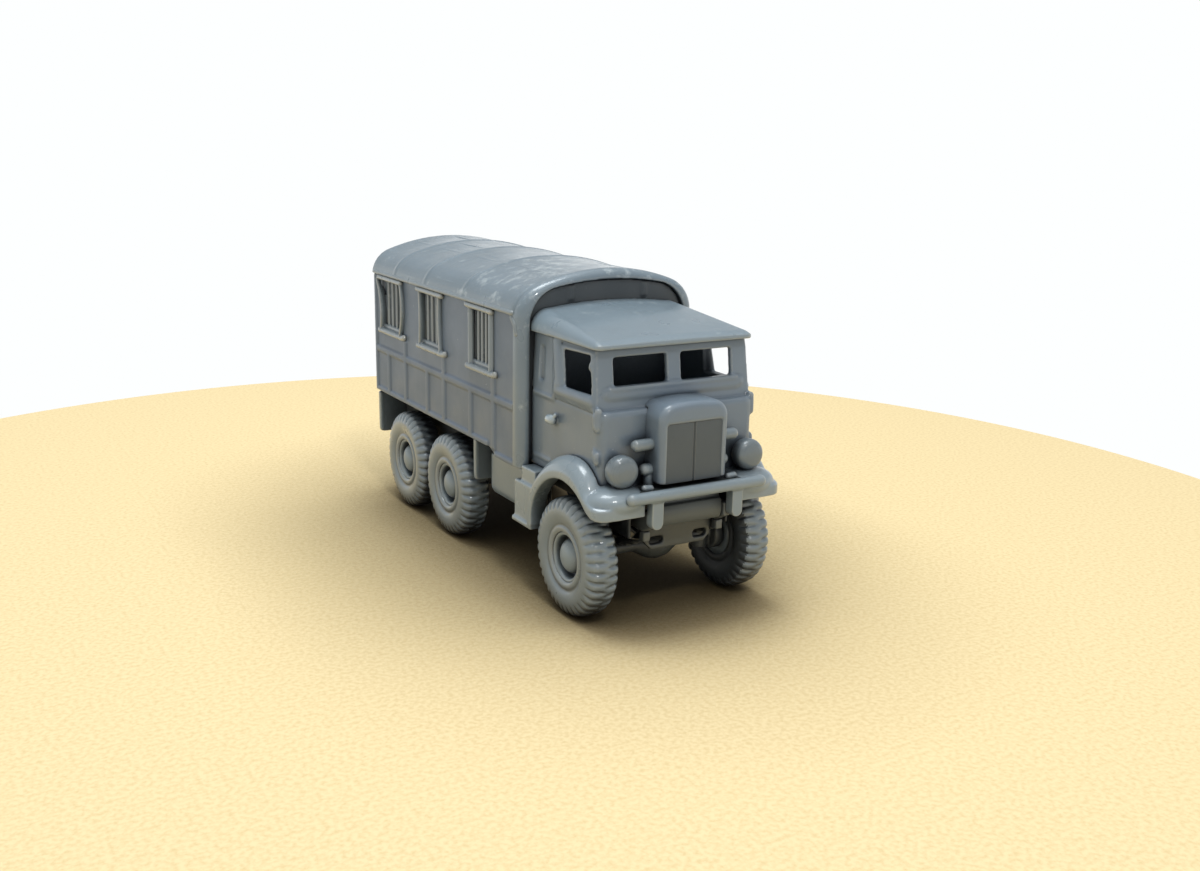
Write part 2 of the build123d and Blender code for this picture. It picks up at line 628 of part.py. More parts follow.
with BuildPart() as cab_shell:
    with BuildSketch(Plane.XY.offset(CAB_BOTTOM_Z)):
        with Locations((0, (CAB_FRONT_Y + CAB_REAR_Y) / 2)):
            Rectangle(2 * CAB_HALF_WIDTH, CAB_REAR_Y - CAB_FRONT_Y)
    extrude(amount=CAB_BOX_TOP_Z - CAB_BOTTOM_Z)
    fillet(cab_shell.edges().filter_by(Axis.Z).group_by(Axis.Y)[0], CAB_CORNER)
    fillet(
        cab_shell.edges().group_by(Axis.Z)[-1].filter_by(lambda e: e.center().Y < -36.5), 0.8
    )
    add(cab_loft(0, CAB_BOX_TOP_Z, CAB_TOP_Z))
    # ledge under the windscreen and the rib below it
    for z, proud in ((34.95, 0.35), (33.75, 0.25)):
        up = (z - CAB_BOX_TOP_Z) / (CAB_TOP_Z - CAB_BOX_TOP_Z)
        front = SCUTTLE_Y + (WINDSCREEN_TOP_Y - SCUTTLE_Y) * up
        with Locations((0, front, z)):
            Box(22.6, 2 * proud, 0.5)
    add(raised.part)
    add(mirror(raised.part, about=Plane.YZ))
    # hollow, open under the roof
    with Locations((0, (CAB_FRONT_Y + CAB_REAR_Y) / 2, (CAB_BOTTOM_Z + CAB_FLOOR + 31) / 2)):
        Box(
            2 * (CAB_HALF_WIDTH - CAB_WALL),
            CAB_REAR_Y - CAB_FRONT_Y - 2 * CAB_WALL,
            31 - CAB_BOTTOM_Z - CAB_FLOOR,
            mode=Mode.SUBTRACT,
        )
    add(cab_loft(CAB_WALL, 31 - 0.01, CAB_TOP_Z + 0.5), mode=Mode.SUBTRACT)
    # windscreen panes, door windows and the quarter window's recess
    pane_x = (PANE_INNER_X + PANE_OUTER_X) / 2
    with Locations(*[(s * pane_x, -36.3, (PANE_BOTTOM_Z + PANE_TOP_Z) / 2) for s in (-1, 1)]):
        Box(PANE_OUTER_X - PANE_INNER_X, 3.2, PANE_TOP_Z - PANE_BOTTOM_Z, mode=Mode.SUBTRACT)
    with BuildSketch(DOOR_PLANE):
        make_face(on_door(DOOR_WINDOW))
    extrude(amount=2, both=True, mode=Mode.SUBTRACT)
    mirrored = Plane(
        origin=(CAB_HALF_WIDTH, 0, CAB_BOX_TOP_Z), x_dir=(0, 1, 0),
        z_dir=(-side_out.X, 0, side_out.Z),
    )
    with BuildSketch(mirrored):
        with BuildLine():
            flat = [(y, z - CAB_BOX_TOP_Z) for y, z in DOOR_WINDOW_LEFT]
            Polyline(*flat, flat[0])
        make_face()
    extrude(amount=2, both=True, mode=Mode.SUBTRACT)
    y, z, width, height = QUARTER_WINDOW
    with Locations(*[(s * CAB_HALF_WIDTH, y, z) for s in (-1, 1)]):
        Box(1.3, width, height, mode=Mode.SUBTRACT)
save(cab_shell.part, "cab_shell")


# ---------------------------------------------------------------- cab roof
ROOF_EDGE_Z = CAB_TOP_Z + FIT
# sections from the rear: y, half width, top z, z where the shoulder starts, shoulder run
CAB_ROOF_SECTIONS = (
    (CAB_REAR_Y, 14.0, 44.9, 41.4, 3.6),
    (-35.7, 13.8, 42.1, 41.15, 1.4),
    (-37.2, 13.7, 41.55, 40.95, 0.9),
)
CAB_ROOF_CORNER = 1.1
CAB_ROOF_WALL = 0.8


def roof_section(y, half, top_z, start_z, run, bottom_z):
    """One cross-section of the cab roof: flat below, rounded shoulders, slight crown."""
    shoulder_z = top_z - (top_z - start_z) * 0.2
    mid = (half - run * 0.3, start_z + (shoulder_z - start_z) * 0.7)
    with BuildSketch(Plane.XZ.offset(-y)) as section:
        with BuildLine():
            Line((-half, bottom_z), (-half, start_z))
            ThreePointArc((-half, start_z), (-mid[0], mid[1]), (-half + run, shoulder_z))
            ThreePointArc((-half + run, shoulder_z), (0, top_z), (half - run, shoulder_z))
            ThreePointArc((half - run, shoulder_z), (mid[0], mid[1]), (half, start_z))
            Line((half, start_z), (half, bottom_z))
            Line((half, bottom_z), (-half, bottom_z))
        make_face()
    return section.sketch


with BuildPart() as roof_hollow:
    for y, half, top_z, start_z, run in CAB_ROOF_SECTIONS[:2]:
        y = y - CAB_ROOF_WALL if y > -30 else y + 1.4
        inner = half - 1.3
        add(roof_section(y, inner, top_z - CAB_ROOF_WALL, start_z - 0.3, run, ROOF_EDGE_Z - 1))
    loft(ruled=True)

with BuildPart() as cab_roof:
    for section in CAB_ROOF_SECTIONS:
        add(roof_section(*section, ROOF_EDGE_Z))
    loft(ruled=True)
    corner = corner_cutter(CAB_ROOF_SECTIONS[2][1], CAB_ROOF_SECTIONS[2][0], CAB_ROOF_CORNER, 40, 44)
    add(corner, mode=Mode.SUBTRACT)
    add(mirror(corner, about=Plane.YZ), mode=Mode.SUBTRACT)
    add(roof_hollow.part, mode=Mode.SUBTRACT)
save(cab_roof.part, "cab_roof")


# ---------------------------------------------------------------- radiator
COWL_FRONT_Y = -42.4
COWL_HALF_WIDTH = 6.0
COWL_BOTTOM_Z = 21.5
COWL_TOP_Z = 33.4
GRILLE_HALF_WIDTH = 4.8
GRILLE_BOTTOM_Z, GRILLE_TOP_Z = 21.5, 30.3
GRILLE_DEPTH = 0.9
GRILLE_SET_BACK = 0.3
COWL_ROUND = 1.1

with BuildPart() as cowl:
    with BuildSketch(Plane.XZ.offset(-COWL_FRONT_Y)):
        with BuildLine():
            Line((-COWL_HALF_WIDTH, COWL_BOTTOM_Z), (-COWL_HALF_WIDTH, 30.9))
            ThreePointArc((-COWL_HALF_WIDTH, 30.9), (-5.3, 32.4), (-3.6, 33.15))
            ThreePointArc((-3.6, 33.15), (0, COWL_TOP_Z), (3.6, 33.15))
            ThreePointArc((3.6, 33.15), (5.3, 32.4), (COWL_HALF_WIDTH, 30.9))
            Line((COWL_HALF_WIDTH, 30.9), (COWL_HALF_WIDTH, COWL_BOTTOM_Z))
            Line((COWL_HALF_WIDTH, COWL_BOTTOM_Z), (-COWL_HALF_WIDTH, COWL_BOTTOM_Z))
        make_face()
    extrude(amount=-(SCUTTLE_Y - FIT - COWL_FRONT_Y))
    fillet(
        cowl.edges().group_by(Axis.Y)[0].filter_by(lambda e: e.center().Z > COWL_BOTTOM_Z + 0.1),
        COWL_ROUND,
    )
    with Locations((0, (CAB_FRONT_Y - FIT + SCUTTLE_Y + 1) / 2, 26)):
        Box(20, SCUTTLE_Y + 1 - CAB_FRONT_Y + FIT, 2 * (CAB_BOX_TOP_Z + FIT - 26),
            mode=Mode.SUBTRACT)
    with Locations((0, COWL_FRONT_Y, (GRILLE_BOTTOM_Z + GRILLE_TOP_Z) / 2 - 1)):
        Box(2 * GRILLE_HALF_WIDTH, 2 * GRILLE_DEPTH, GRILLE_TOP_Z - GRILLE_BOTTOM_Z + 2,
            mode=Mode.SUBTRACT)
save(cowl.part, "radiator_cowl")

# two flat panels on one plate, with a narrow groove between them
GRILLE_BACK_Y = COWL_FRONT_Y + GRILLE_DEPTH - FIT
GRILLE_GROOVE = 0.3
with BuildPart() as grille:
    half = GRILLE_HALF_WIDTH - FIT
    height = GRILLE_TOP_Z - GRILLE_BOTTOM_Z - 2 * FIT
    middle_z = (GRILLE_TOP_Z + GRILLE_BOTTOM_Z) / 2
    front_y = COWL_FRONT_Y + GRILLE_SET_BACK
    with Locations((0, (front_y + GRILLE_BACK_Y) / 2, middle_z)):
        Box(2 * half, GRILLE_BACK_Y - front_y, height)
    with Locations((0, front_y, middle_z)):
        Box(GRILLE_GROOVE, 0.5, height + 1, mode=Mode.SUBTRACT)
save(grille.part, "radiator_grille")


# ---------------------------------------------------------------- lamps and side arms
LAMP = (-11.15, -40.4, 23.75)
LAMP_RADIUS = 2.5
LAMP_FRONT = 1.5              # dome in front of the rim
LAMP_BACK = 2.1               # bowl behind it
LAMP_FOOT_RADIUS = 1.0
LAMP_FOOT_Z = 20.3            # just clear of the wing

with BuildPart() as lamp:
    lamp_plane = Plane(origin=LAMP, x_dir=(0, 0, 1), z_dir=(-1, 0, 0))
    with BuildSketch(lamp_plane):
        with BuildLine():
            TangentArc((0, -LAMP_FRONT), (LAMP_RADIUS - 0.15, -0.2), tangent=(1, 0))
            Polyline((LAMP_RADIUS - 0.15, -0.2), (LAMP_RADIUS, 0.1), (LAMP_RADIUS - 0.15, 0.4))
            TangentArc((0, LAMP_BACK), (LAMP_RADIUS - 0.15, 0.4), tangent=(1, 0))
            Line((0, LAMP_BACK), (0, -LAMP_FRONT))
        make_face()
    revolve(axis=Axis(LAMP, (0, 1, 0)))
    with Locations((LAMP[0], LAMP[1] - 0.35, (LAMP_FOOT_Z + LAMP[2] - 1.6) / 2)):
        Cylinder(LAMP_FOOT_RADIUS, LAMP[2] - 1.6 - LAMP_FOOT_Z)
save_pair(lamp.part, "headlamp")

ARM_Y, ARM_Z = -39.8, 27.2
ARM_RADIUS = 0.95
ARM_END_X = 9.4
with BuildPart() as arm:
    with BuildSketch(Plane.YZ.offset(-COWL_HALF_WIDTH - FIT)):
        with Locations((ARM_Y, ARM_Z)):
            Circle(ARM_RADIUS)
    extrude(amount=-(ARM_END_X - COWL_HALF_WIDTH - FIT))
    chamfer(arm.edges().group_by(Axis.X)[0], 0.35)
save_pair(arm.part, "side_arm")

# small lamp on a stem beside the cowl: a cup on a foot, turned about an upright axis
SIDE_LAMP = (-COWL_HALF_WIDTH - FIT - 1.15, -39.4)
SIDE_LAMP_Z = (21.3, 24.1)
with BuildPart() as side_lamp:
    with BuildSketch(Plane(origin=(*SIDE_LAMP, 0), x_dir=(1, 0, 0), z_dir=(0, -1, 0))):
        low, high = SIDE_LAMP_Z
        with BuildLine():
            Polyline((0, low), (0.6, low), (1.05, low + 1.2), (1.1, high - 0.4), (0.7, high),
                     (0, high), (0, low))
        make_face()
    revolve(axis=Axis((*SIDE_LAMP, 0), (0, 0, 1)))
save_pair(side_lamp.part, "side_lamp")


# ---------------------------------------------------------------- house body
SIDE_REAR_Y = BODY_REAR_Y - 0.1
SIDE_FRONT_Y = BODY_FRONT_Y + FRONT_FRAME_DEPTH + FIT
SIDE_X = BODY_HALF_WIDTH - BODY_WALL / 2
RIB_PROUD = 0.3
RIB_WIDTH = 1.2
RAIL_LOW_Z, RAIL_HIGH_Z = 28.0, 29.0
SILL_Z = 31.9
RIB_Y = (37.3, 29.0, 18.7, 11.4, 0.45, -8.2)       # ribs between the lower edge and the rail
TALL_RIB_Y = (29.0, 11.4, -8.2)                    # these go on up to the window sills
WINDOW_LOW_Z, WINDOW_HIGH_Z = 32.9, 42.05
POCKET_DEPTH = 0.8
# one window per row, from the front: name, rear jamb y, front jamb y, jamb width
WINDOWS = (
    ("front", 0.5, -8.1, 1.0),
    ("middle", 20.9, 12.3, 0.45),
    ("rear", 40.6, 30.3, 0.45),
)

with BuildPart() as body_side:
    with BuildSketch(Plane.YZ.offset(-BODY_HALF_WIDTH)):
        with BuildLine():
            Polyline(
                (SIDE_FRONT_Y, SKIRT_BOTTOM_Z),
                (SKIRT_STEP_Y - SKIRT_STEP_RUN, SKIRT_BOTTOM_Z),
                (SKIRT_STEP_Y + SKIRT_STEP_RUN, BODY_BOTTOM_Z),
                (SIDE_REAR_Y, BODY_BOTTOM_Z),
                (SIDE_REAR_Y, EAVE_Z - FIT),
                (SIDE_FRONT_Y, EAVE_Z - FIT),
                (SIDE_FRONT_Y, SKIRT_BOTTOM_Z),
            )
        make_face()
    extrude(amount=BODY_WALL)
    # relief on the outer face: waist rail, lower rail, ribs, corner strip at the rear
    relief = [
        (SIDE_FRONT_Y, SIDE_REAR_Y, RAIL_LOW_Z, RAIL_HIGH_Z),
        (SKIRT_STEP_Y + SKIRT_STEP_RUN, SIDE_REAR_Y, BODY_BOTTOM_Z, BODY_BOTTOM_Z + 0.8),
        (SIDE_FRONT_Y, SKIRT_STEP_Y - SKIRT_STEP_RUN, SKIRT_BOTTOM_Z, SKIRT_BOTTOM_Z + 0.8),
        (SIDE_REAR_Y - 0.9, SIDE_REAR_Y, BODY_BOTTOM_Z, EAVE_Z - EAVE_LIP - FIT),
    ]
    relief += [(y - RIB_WIDTH / 2, y + RIB_WIDTH / 2, BODY_BOTTOM_Z, RAIL_LOW_Z) for y in RIB_Y]
    relief += [(y - RIB_WIDTH / 2, y + RIB_WIDTH / 2, RAIL_HIGH_Z, SILL_Z) for y in TALL_RIB_Y]
    for y_front, y_rear, z_low, z_high in relief:
        with Locations((-BODY_HALF_WIDTH, (y_front + y_rear) / 2, (z_low + z_high) / 2)):
            Box(2 * RIB_PROUD, y_rear - y_front, z_high - z_low)
    # window pockets, closed at the back
    for name, y_rear, y_front, jamb in WINDOWS:
        with Locations(
            (-BODY_HALF_WIDTH, (y_front + y_rear) / 2, (WINDOW_LOW_Z + WINDOW_HIGH_Z) / 2)
        ):
            Box(2 * POCKET_DEPTH, y_rear - y_front, WINDOW_HIGH_Z - WINDOW_LOW_Z,
                mode=Mode.SUBTRACT)
save_pair(body_side.part, "body_side")

FRAME_PROUD = 0.45
HOOD_PROUD = 0.75
BAR_WIDTH = 0.6
BAR_COUNT = 3
for name, y_rear, y_front, jamb in WINDOWS:
    middle = (y_rear + y_front) / 2
    with BuildPart() as window:
        # jambs stand in the pocket and a little proud of the panel
        for y in (y_rear - jamb / 2 - FIT, y_front + jamb / 2 + FIT):
            with Locations((-BODY_HALF_WIDTH + (POCKET_DEPTH - FIT - FRAME_PROUD) / 2, y,
                            (WINDOW_LOW_Z + WINDOW_HIGH_Z) / 2)):
                Box(POCKET_DEPTH - FIT + FRAME_PROUD, jamb, WINDOW_HIGH_Z - WINDOW_LOW_Z)
        # hood above and sill below, longer than the opening
        for y_a, y_b, z_low, z_high in (
            (y_front - 0.8, y_rear + 1.5, WINDOW_HIGH_Z - 0.05, WINDOW_HIGH_Z + 0.6),
            (y_front - 1.9, y_rear + 1.3, WINDOW_LOW_Z - 1.0, WINDOW_LOW_Z + 0.05),
        ):
            with Locations((-BODY_HALF_WIDTH - FIT - HOOD_PROUD / 2, (y_a + y_b) / 2,
                            (z_low + z_high) / 2)):
                Box(HOOD_PROUD, y_b - y_a, z_high - z_low)
        # bars across the pocket, on two rails
        step = (y_rear - y_front - 2 * jamb) / (BAR_COUNT + 1)
        for i in range(BAR_COUNT):
            with Locations((-BODY_HALF_WIDTH + 0.35, y_front + jamb + step * (i + 1),
                            (WINDOW_LOW_Z + WINDOW_HIGH_Z) / 2)):
                Box(0.5, BAR_WIDTH, WINDOW_HIGH_Z - WINDOW_LOW_Z - 2 * FIT)
        for z in (WINDOW_LOW_Z + 0.3, WINDOW_HIGH_Z - 0.3):
            with Locations((-BODY_HALF_WIDTH + 0.35, middle, z)):
                Box(0.7, y_rear - y_front - 2 * FIT - 0.1, 0.5)
    save_pair(window.part, f"window_{name}")


# ---------------------------------------------------------------- roof and end walls
def roof_arch(half, eave_z, mid, shoulder, top_z):
    """Edges of the roof's outline in XZ from the left eave over the crown to the right."""
    with BuildLine() as arch:
        ThreePointArc((-half, eave_z), (-mid[0], mid[1]), (-shoulder[0], shoulder[1]))
        ThreePointArc((-shoulder[0], shoulder[1]), (0, top_z), (shoulder[0], shoulder[1]))
        ThreePointArc((shoulder[0], shoulder[1]), (mid[0], mid[1]), (half, eave_z))
    return arch.edges()


def arch_inside(inset, eave_z, drop, run=3.7, fall=2.2):
    """Arch set in from the roof's outline by inset at the eave and by drop at the crown.

    Its shoulder lies run in from the eave and fall below the crown.
    """
    half = BODY_HALF_WIDTH + EAVE_PROUD - inset
    top_z = ROOF_TOP_Z - drop
    shoulder = (half - run, top_z - fall)
    mid = (half - 0.29 * run, eave_z + 0.58 * (shoulder[1] - eave_z))
    return half, eave_z, mid, shoulder, top_z


# arch of the opening in the front frame: inset, eave, drop, and a flatter crown
RIM_INSET, RIM_EAVE_Z, RIM_DROP = 2.15, 42.6, 1.65
RIM_SHOULDER = {"run": 4.2, "fall": 0.95}
OUTER_ARCH = arch_inside(0, EAVE_Z, 0)
INNER_ARCH = arch_inside(1.2, EAVE_Z, ROOF_WALL)
RIM_ARCH = arch_inside(RIM_INSET, RIM_EAVE_Z, RIM_DROP, **RIM_SHOULDER)
FRAME_ARCH = arch_inside(0.2, 42.8, 0)


def closed_below(arch, foot_z):
    """Face under an arch, closed by two posts and a straight line at foot_z."""
    half, eave_z = arch[0], arch[1]
    with BuildSketch(Plane.XZ) as region:
        with BuildLine():
            add(roof_arch(*arch))
            Polyline((half, eave_z), (half, foot_z), (-half, foot_z), (-half, eave_z))
        make_face()
    return region.sketch


def slab(faces, y_front, y_rear):
    """Extrude faces drawn in the XZ plane from y_front to y_rear."""
    with BuildPart() as solid:
        with BuildSketch(Plane.XZ.offset(-y_rear)):
            add(faces)
        extrude(amount=y_rear - y_front)
    return solid.part


HOOP_Y = (3.0, 19.0, 33.0)       # seams over the roof
HOOP_WIDTH = 0.9
HOOP_PROUD = 0.1
ROOF_REAR_Y = BODY_REAR_Y + 0.3

with BuildPart() as body_roof:
    add(slab(closed_below(OUTER_ARCH, EAVE_Z - EAVE_LIP), SIDE_FRONT_Y, ROOF_REAR_Y))
    for y in HOOP_Y:
        hoop = arch_inside(-HOOP_PROUD, EAVE_Z, -HOOP_PROUD)
        add(slab(closed_below(hoop, EAVE_Z - 0.01), y - HOOP_WIDTH / 2, y + HOOP_WIDTH / 2))
    add(slab(closed_below(INNER_ARCH, EAVE_Z - 1), SIDE_FRONT_Y - 1, ROOF_REAR_Y + 1),
        mode=Mode.SUBTRACT)
    # seat for the side panels under the eave
    with Locations((0, (SIDE_FRONT_Y + ROOF_REAR_Y) / 2, EAVE_Z - 0.5)):
        Box(2 * (BODY_HALF_WIDTH + FIT), ROOF_REAR_Y - SIDE_FRONT_Y + 2, 1.0, mode=Mode.SUBTRACT)
save(body_roof.part, "body_roof")

with BuildPart() as front_frame:
    add(slab(closed_below(FRAME_ARCH, SKIRT_BOTTOM_Z), BODY_FRONT_Y,
             BODY_FRONT_Y + FRONT_FRAME_DEPTH))
    outer_edges = front_frame.edges().group_by(Axis.Y)[0].filter_by(
        lambda e: e.center().Z > SKIRT_BOTTOM_Z + 0.1
    )
    fillet(outer_edges, FRONT_FRAME_ROUND)
    add(slab(closed_below(RIM_ARCH, SKIRT_BOTTOM_Z - 1), BODY_FRONT_Y - 1, BODY_FRONT_Y + 4),
        mode=Mode.SUBTRACT)
save(front_frame.part, "body_front_frame")

BULKHEAD_Y = BODY_FRONT_Y + BULKHEAD_SET_BACK
BULKHEAD_ARCH = arch_inside(RIM_INSET + FIT, RIM_EAVE_Z, RIM_DROP + FIT, **RIM_SHOULDER)
BULKHEAD_RIBS = (6.7, 0.9)       # x of the two ribs above the cab, their width
with BuildPart() as bulkhead:
    add(slab(closed_below(BULKHEAD_ARCH, BODY_BOTTOM_Z), BULKHEAD_Y, BULKHEAD_Y + BULKHEAD_WALL))
    for sign in (-1, 1):
        with Locations((sign * BULKHEAD_RIBS[0], BULKHEAD_Y, 46.2)):
            Box(BULKHEAD_RIBS[1], 0.5, 2.3)
save(bulkhead.part, "body_bulkhead")

REAR_WALL_FRONT_Y = SIDE_REAR_Y - 1.3
DOOR_HALF_WIDTH, DOOR_BOTTOM_Z, DOOR_TOP_Z = 7.4, 21.4, 42.4
with BuildPart() as rear_wall:
    wall_arch = arch_inside(EAVE_PROUD + BODY_WALL + FIT, 43.0, ROOF_WALL + 0.25)
    add(slab(closed_below(wall_arch, BODY_BOTTOM_Z), REAR_WALL_FRONT_Y, SIDE_REAR_Y))
    # two door leaves in relief with a gap between them, hinges and a handle
    for sign in (-1, 1):
        with Locations((sign * DOOR_HALF_WIDTH / 2, SIDE_REAR_Y + 0.1,
                        (DOOR_BOTTOM_Z + DOOR_TOP_Z) / 2)):
            Box(DOOR_HALF_WIDTH - 0.3, 0.5, DOOR_TOP_Z - DOOR_BOTTOM_Z)
        for z in (24.5, 32.0, 39.5):
            with Locations((sign * (DOOR_HALF_WIDTH + 0.1), SIDE_REAR_Y + 0.2, z)):
                Box(0.8, 0.6, 1.5)
    with Locations((1.0, SIDE_REAR_Y + 0.3, 31.0)):
        Box(0.5, 0.4, 2.4)
save(rear_wall.part, "body_rear_wall")

FLOOR_THICK = 0.9
with BuildPart() as floor:
    y_a, y_b = SIDE_FRONT_Y, REAR_WALL_FRONT_Y - FIT
    with Locations((0, (y_a + y_b) / 2, BODY_BOTTOM_Z + FLOOR_THICK / 2)):
        Box(2 * (BODY_HALF_WIDTH - BODY_WALL - FIT), y_b - y_a, FLOOR_THICK)
save(floor.part, "body_floor")

# cross bearers on the chassis rails, short of the tyres
BEARER_Y = (-14.5, -5.5, 3.0, 11.5, 20.1, 28.7, 37.2, BODY_REAR_Y - 2.0)
BEARER_HALF_LENGTH = 10.4
with BuildPart() as bearers:
    for y in BEARER_Y:
        with Locations((0, y, (RAIL_TOP_Z + BODY_BOTTOM_Z) / 2)):
            Box(2 * BEARER_HALF_LENGTH, 1.2, BODY_BOTTOM_Z - RAIL_TOP_Z - 2 * FIT)
save(bearers.part, "body_bearers")


# ---------------------------------------------------------------- tanks and mud flaps
TANK_OUTER_X = BODY_HALF_WIDTH - 1.7
TANK_INNER_X = BEARER_HALF_LENGTH + 0.1
TANK_BOTTOM_Z = 10.8
TANK_Y = (-15.2, -2.1)
with BuildPart() as tank:
    height = BODY_BOTTOM_Z - FIT - TANK_BOTTOM_Z
    with Locations((-(TANK_OUTER_X + TANK_INNER_X) / 2, sum(TANK_Y) / 2,
                    TANK_BOTTOM_Z + height / 2)):
        Box(TANK_OUTER_X - TANK_INNER_X, TANK_Y[1] - TANK_Y[0], height)
    fillet(tank.edges().filter_by(Axis.Y).group_by(Axis.Z)[0], 1.4)
    # two bearers in to the chassis rail
    inner = CHASSIS_RAIL_X + RAIL_WIDTH / 2 + FIT
    for y in (-12.0, -5.2):
        with Locations((-(TANK_INNER_X + 0.5 + inner) / 2, y, 15.8)):
            Box(TANK_INNER_X + 0.5 - inner, 0.9, 0.9)
save_pair(tank.part, "fuel_tank")

FLAP_THICK = 0.9
FLAP_INNER_X = 9.6
for name, y_front, outer_x, z_low, z_high in (
    ("middle", 0.3, BODY_HALF_WIDTH - 0.7, 12.4, BODY_BOTTOM_Z - 0.6),
    ("rear", BODY_REAR_Y - 1.0, BODY_HALF_WIDTH - 0.1, 11.5, BODY_BOTTOM_Z - 0.6),
):
    with BuildPart() as flap:
        with Locations((-(outer_x + FLAP_INNER_X) / 2, y_front + FLAP_THICK / 2,
                        (z_low + z_high) / 2)):
            Box(outer_x - FLAP_INNER_X, FLAP_THICK, z_high - z_low)
        fillet(flap.edges().filter_by(Axis.Y).group_by(Axis.Z)[0], 1.0)
    save_pair(flap.part, f"mud_flap_{name}")
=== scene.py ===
import math
import bmesh
import bpy
import numpy as np
from mathutils import Matrix, Vector


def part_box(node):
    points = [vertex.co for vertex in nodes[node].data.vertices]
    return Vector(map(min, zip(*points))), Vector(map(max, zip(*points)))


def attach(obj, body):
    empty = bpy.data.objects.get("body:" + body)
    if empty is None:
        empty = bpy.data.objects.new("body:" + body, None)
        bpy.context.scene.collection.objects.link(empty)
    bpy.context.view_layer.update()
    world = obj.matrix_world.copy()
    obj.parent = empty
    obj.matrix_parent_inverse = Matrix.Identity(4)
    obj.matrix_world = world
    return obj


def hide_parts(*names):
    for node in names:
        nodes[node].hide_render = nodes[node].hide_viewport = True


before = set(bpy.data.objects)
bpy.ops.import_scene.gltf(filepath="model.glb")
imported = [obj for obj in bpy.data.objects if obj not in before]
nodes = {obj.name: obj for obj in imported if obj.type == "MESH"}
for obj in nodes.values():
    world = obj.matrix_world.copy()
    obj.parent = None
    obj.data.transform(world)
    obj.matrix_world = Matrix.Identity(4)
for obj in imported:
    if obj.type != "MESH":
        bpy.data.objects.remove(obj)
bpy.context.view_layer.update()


# ---- floor and light -------------------------------------------------------
# The model stands on a plain round board of pale fibreboard, in a white room with a
# large softbox above and a small bright lamp that picks out the wet-looking edges.
scene = bpy.context.scene
BOARD_RADIUS = 0.1557
BOARD_CENTRE = (-0.0116, -0.0036, 0)
BOARD_DARK, BOARD_LIGHT = (0.72, 0.555, 0.30, 1), (0.82, 0.66, 0.385, 1)
BOARD_UNLIT = (0.04, 0.028, 0.012, 1)


def add_node(tree, kind, inputs=(), **settings):
    """Add a shader node of a kind, with its settings and the values of its sockets."""
    node = tree.nodes.new("ShaderNode" + kind)
    for name, value in settings.items():
        setattr(node, name, value)
    for name, value in dict(inputs).items():
        node.inputs[name].default_value = value
    return node


def two_tones(tree, factor, low, high):
    """Run from one (place, colour) to another by factor."""
    ramp = add_node(tree, "ValToRGB")
    for element, (place, colour) in zip(ramp.color_ramp.elements, (low, high)):
        element.position = place
        element.color = colour
    tree.links.new(factor, ramp.inputs["Fac"])
    return ramp.outputs["Color"]


board_bm = bmesh.new()
bmesh.ops.create_circle(
    board_bm, cap_ends=True, segments=256, radius=BOARD_RADIUS,
    matrix=Matrix.Translation(BOARD_CENTRE),
)
board_mesh = bpy.data.meshes.new("board")
board_bm.to_mesh(board_mesh)
board_bm.free()
board = bpy.data.objects.new("board", board_mesh)
scene.collection.objects.link(board)

board_paint = bpy.data.materials.new("pale_board")
board_paint.use_nodes = True
board_tree = board_paint.node_tree
board_shader = board_tree.nodes["Principled BSDF"]
board_shader.inputs["Roughness"].default_value = 0.9
board_shader.inputs["Specular IOR Level"].default_value = 0.1
where = add_node(board_tree, "TexCoord")
pulp = add_node(board_tree, "TexNoise", {"Scale": 1500.0, "Detail": 6.0})
board_tree.links.new(where.outputs["Object"], pulp.inputs["Vector"])
fibre = two_tones(board_tree, pulp.outputs["Fac"], (0.3, BOARD_DARK), (0.6, BOARD_LIGHT))
# what little light gets under the chassis
shade = add_node(board_tree, "AmbientOcclusion", {"Distance": 0.05}, samples=8)
deepen = add_node(board_tree, "Math", {1: 2.0}, operation="POWER")
board_tree.links.new(shade.outputs["AO"], deepen.inputs[0])
ground = add_node(board_tree, "Mix", {"A": BOARD_UNLIT}, data_type="RGBA")
board_tree.links.new(deepen.outputs["Value"], ground.inputs["Factor"])
board_tree.links.new(fibre, ground.inputs["B"])
board_tree.links.new(ground.outputs["Result"], board_shader.inputs["Base Color"])
board_mesh.materials.append(board_paint)

# white round the horizon, dimmer above it, bright again overhead
SKY_BANDS = ((0.0, 1.0), (0.12, 1.0), (0.28, 0.42), (0.62, 0.42), (0.85, 0.9))
world = bpy.data.worlds.new("studio")
scene.world = world
world.use_nodes = True
sky_tree = world.node_tree
sky = sky_tree.nodes["Background"]
sky.inputs["Color"].default_value = (0.985, 1.0, 1.0, 1)
way_up = add_node(sky_tree, "TexCoord")
split = add_node(sky_tree, "SeparateXYZ")
sky_tree.links.new(way_up.outputs["Generated"], split.inputs["Vector"])
bands = add_node(sky_tree, "ValToRGB")
for place, power in SKY_BANDS[2:]:
    bands.color_ramp.elements.new(place)
for element, (place, power) in zip(bands.color_ramp.elements, SKY_BANDS):
    element.position = place
    element.color = (power, power, power, 1)
sky_tree.links.new(split.outputs["Z"], bands.inputs["Fac"])
sky_tree.links.new(bands.outputs["Color"], sky.inputs["Strength"])
scene.view_settings.view_transform = "Standard"


def soft_lamp(name, place, aim, size, power, colour):
    """A square studio light at place, facing aim."""
    data = bpy.data.lights.new(name, "AREA")
    data.size = size
    data.energy = power
    data.color = colour
    lamp = bpy.data.objects.new(name, data)
    lamp.location = place
    lamp.rotation_mode = "QUATERNION"
    lamp.rotation_quaternion = (Vector(aim) - Vector(place)).to_track_quat("-Z", "Y")
    scene.collection.objects.link(lamp)


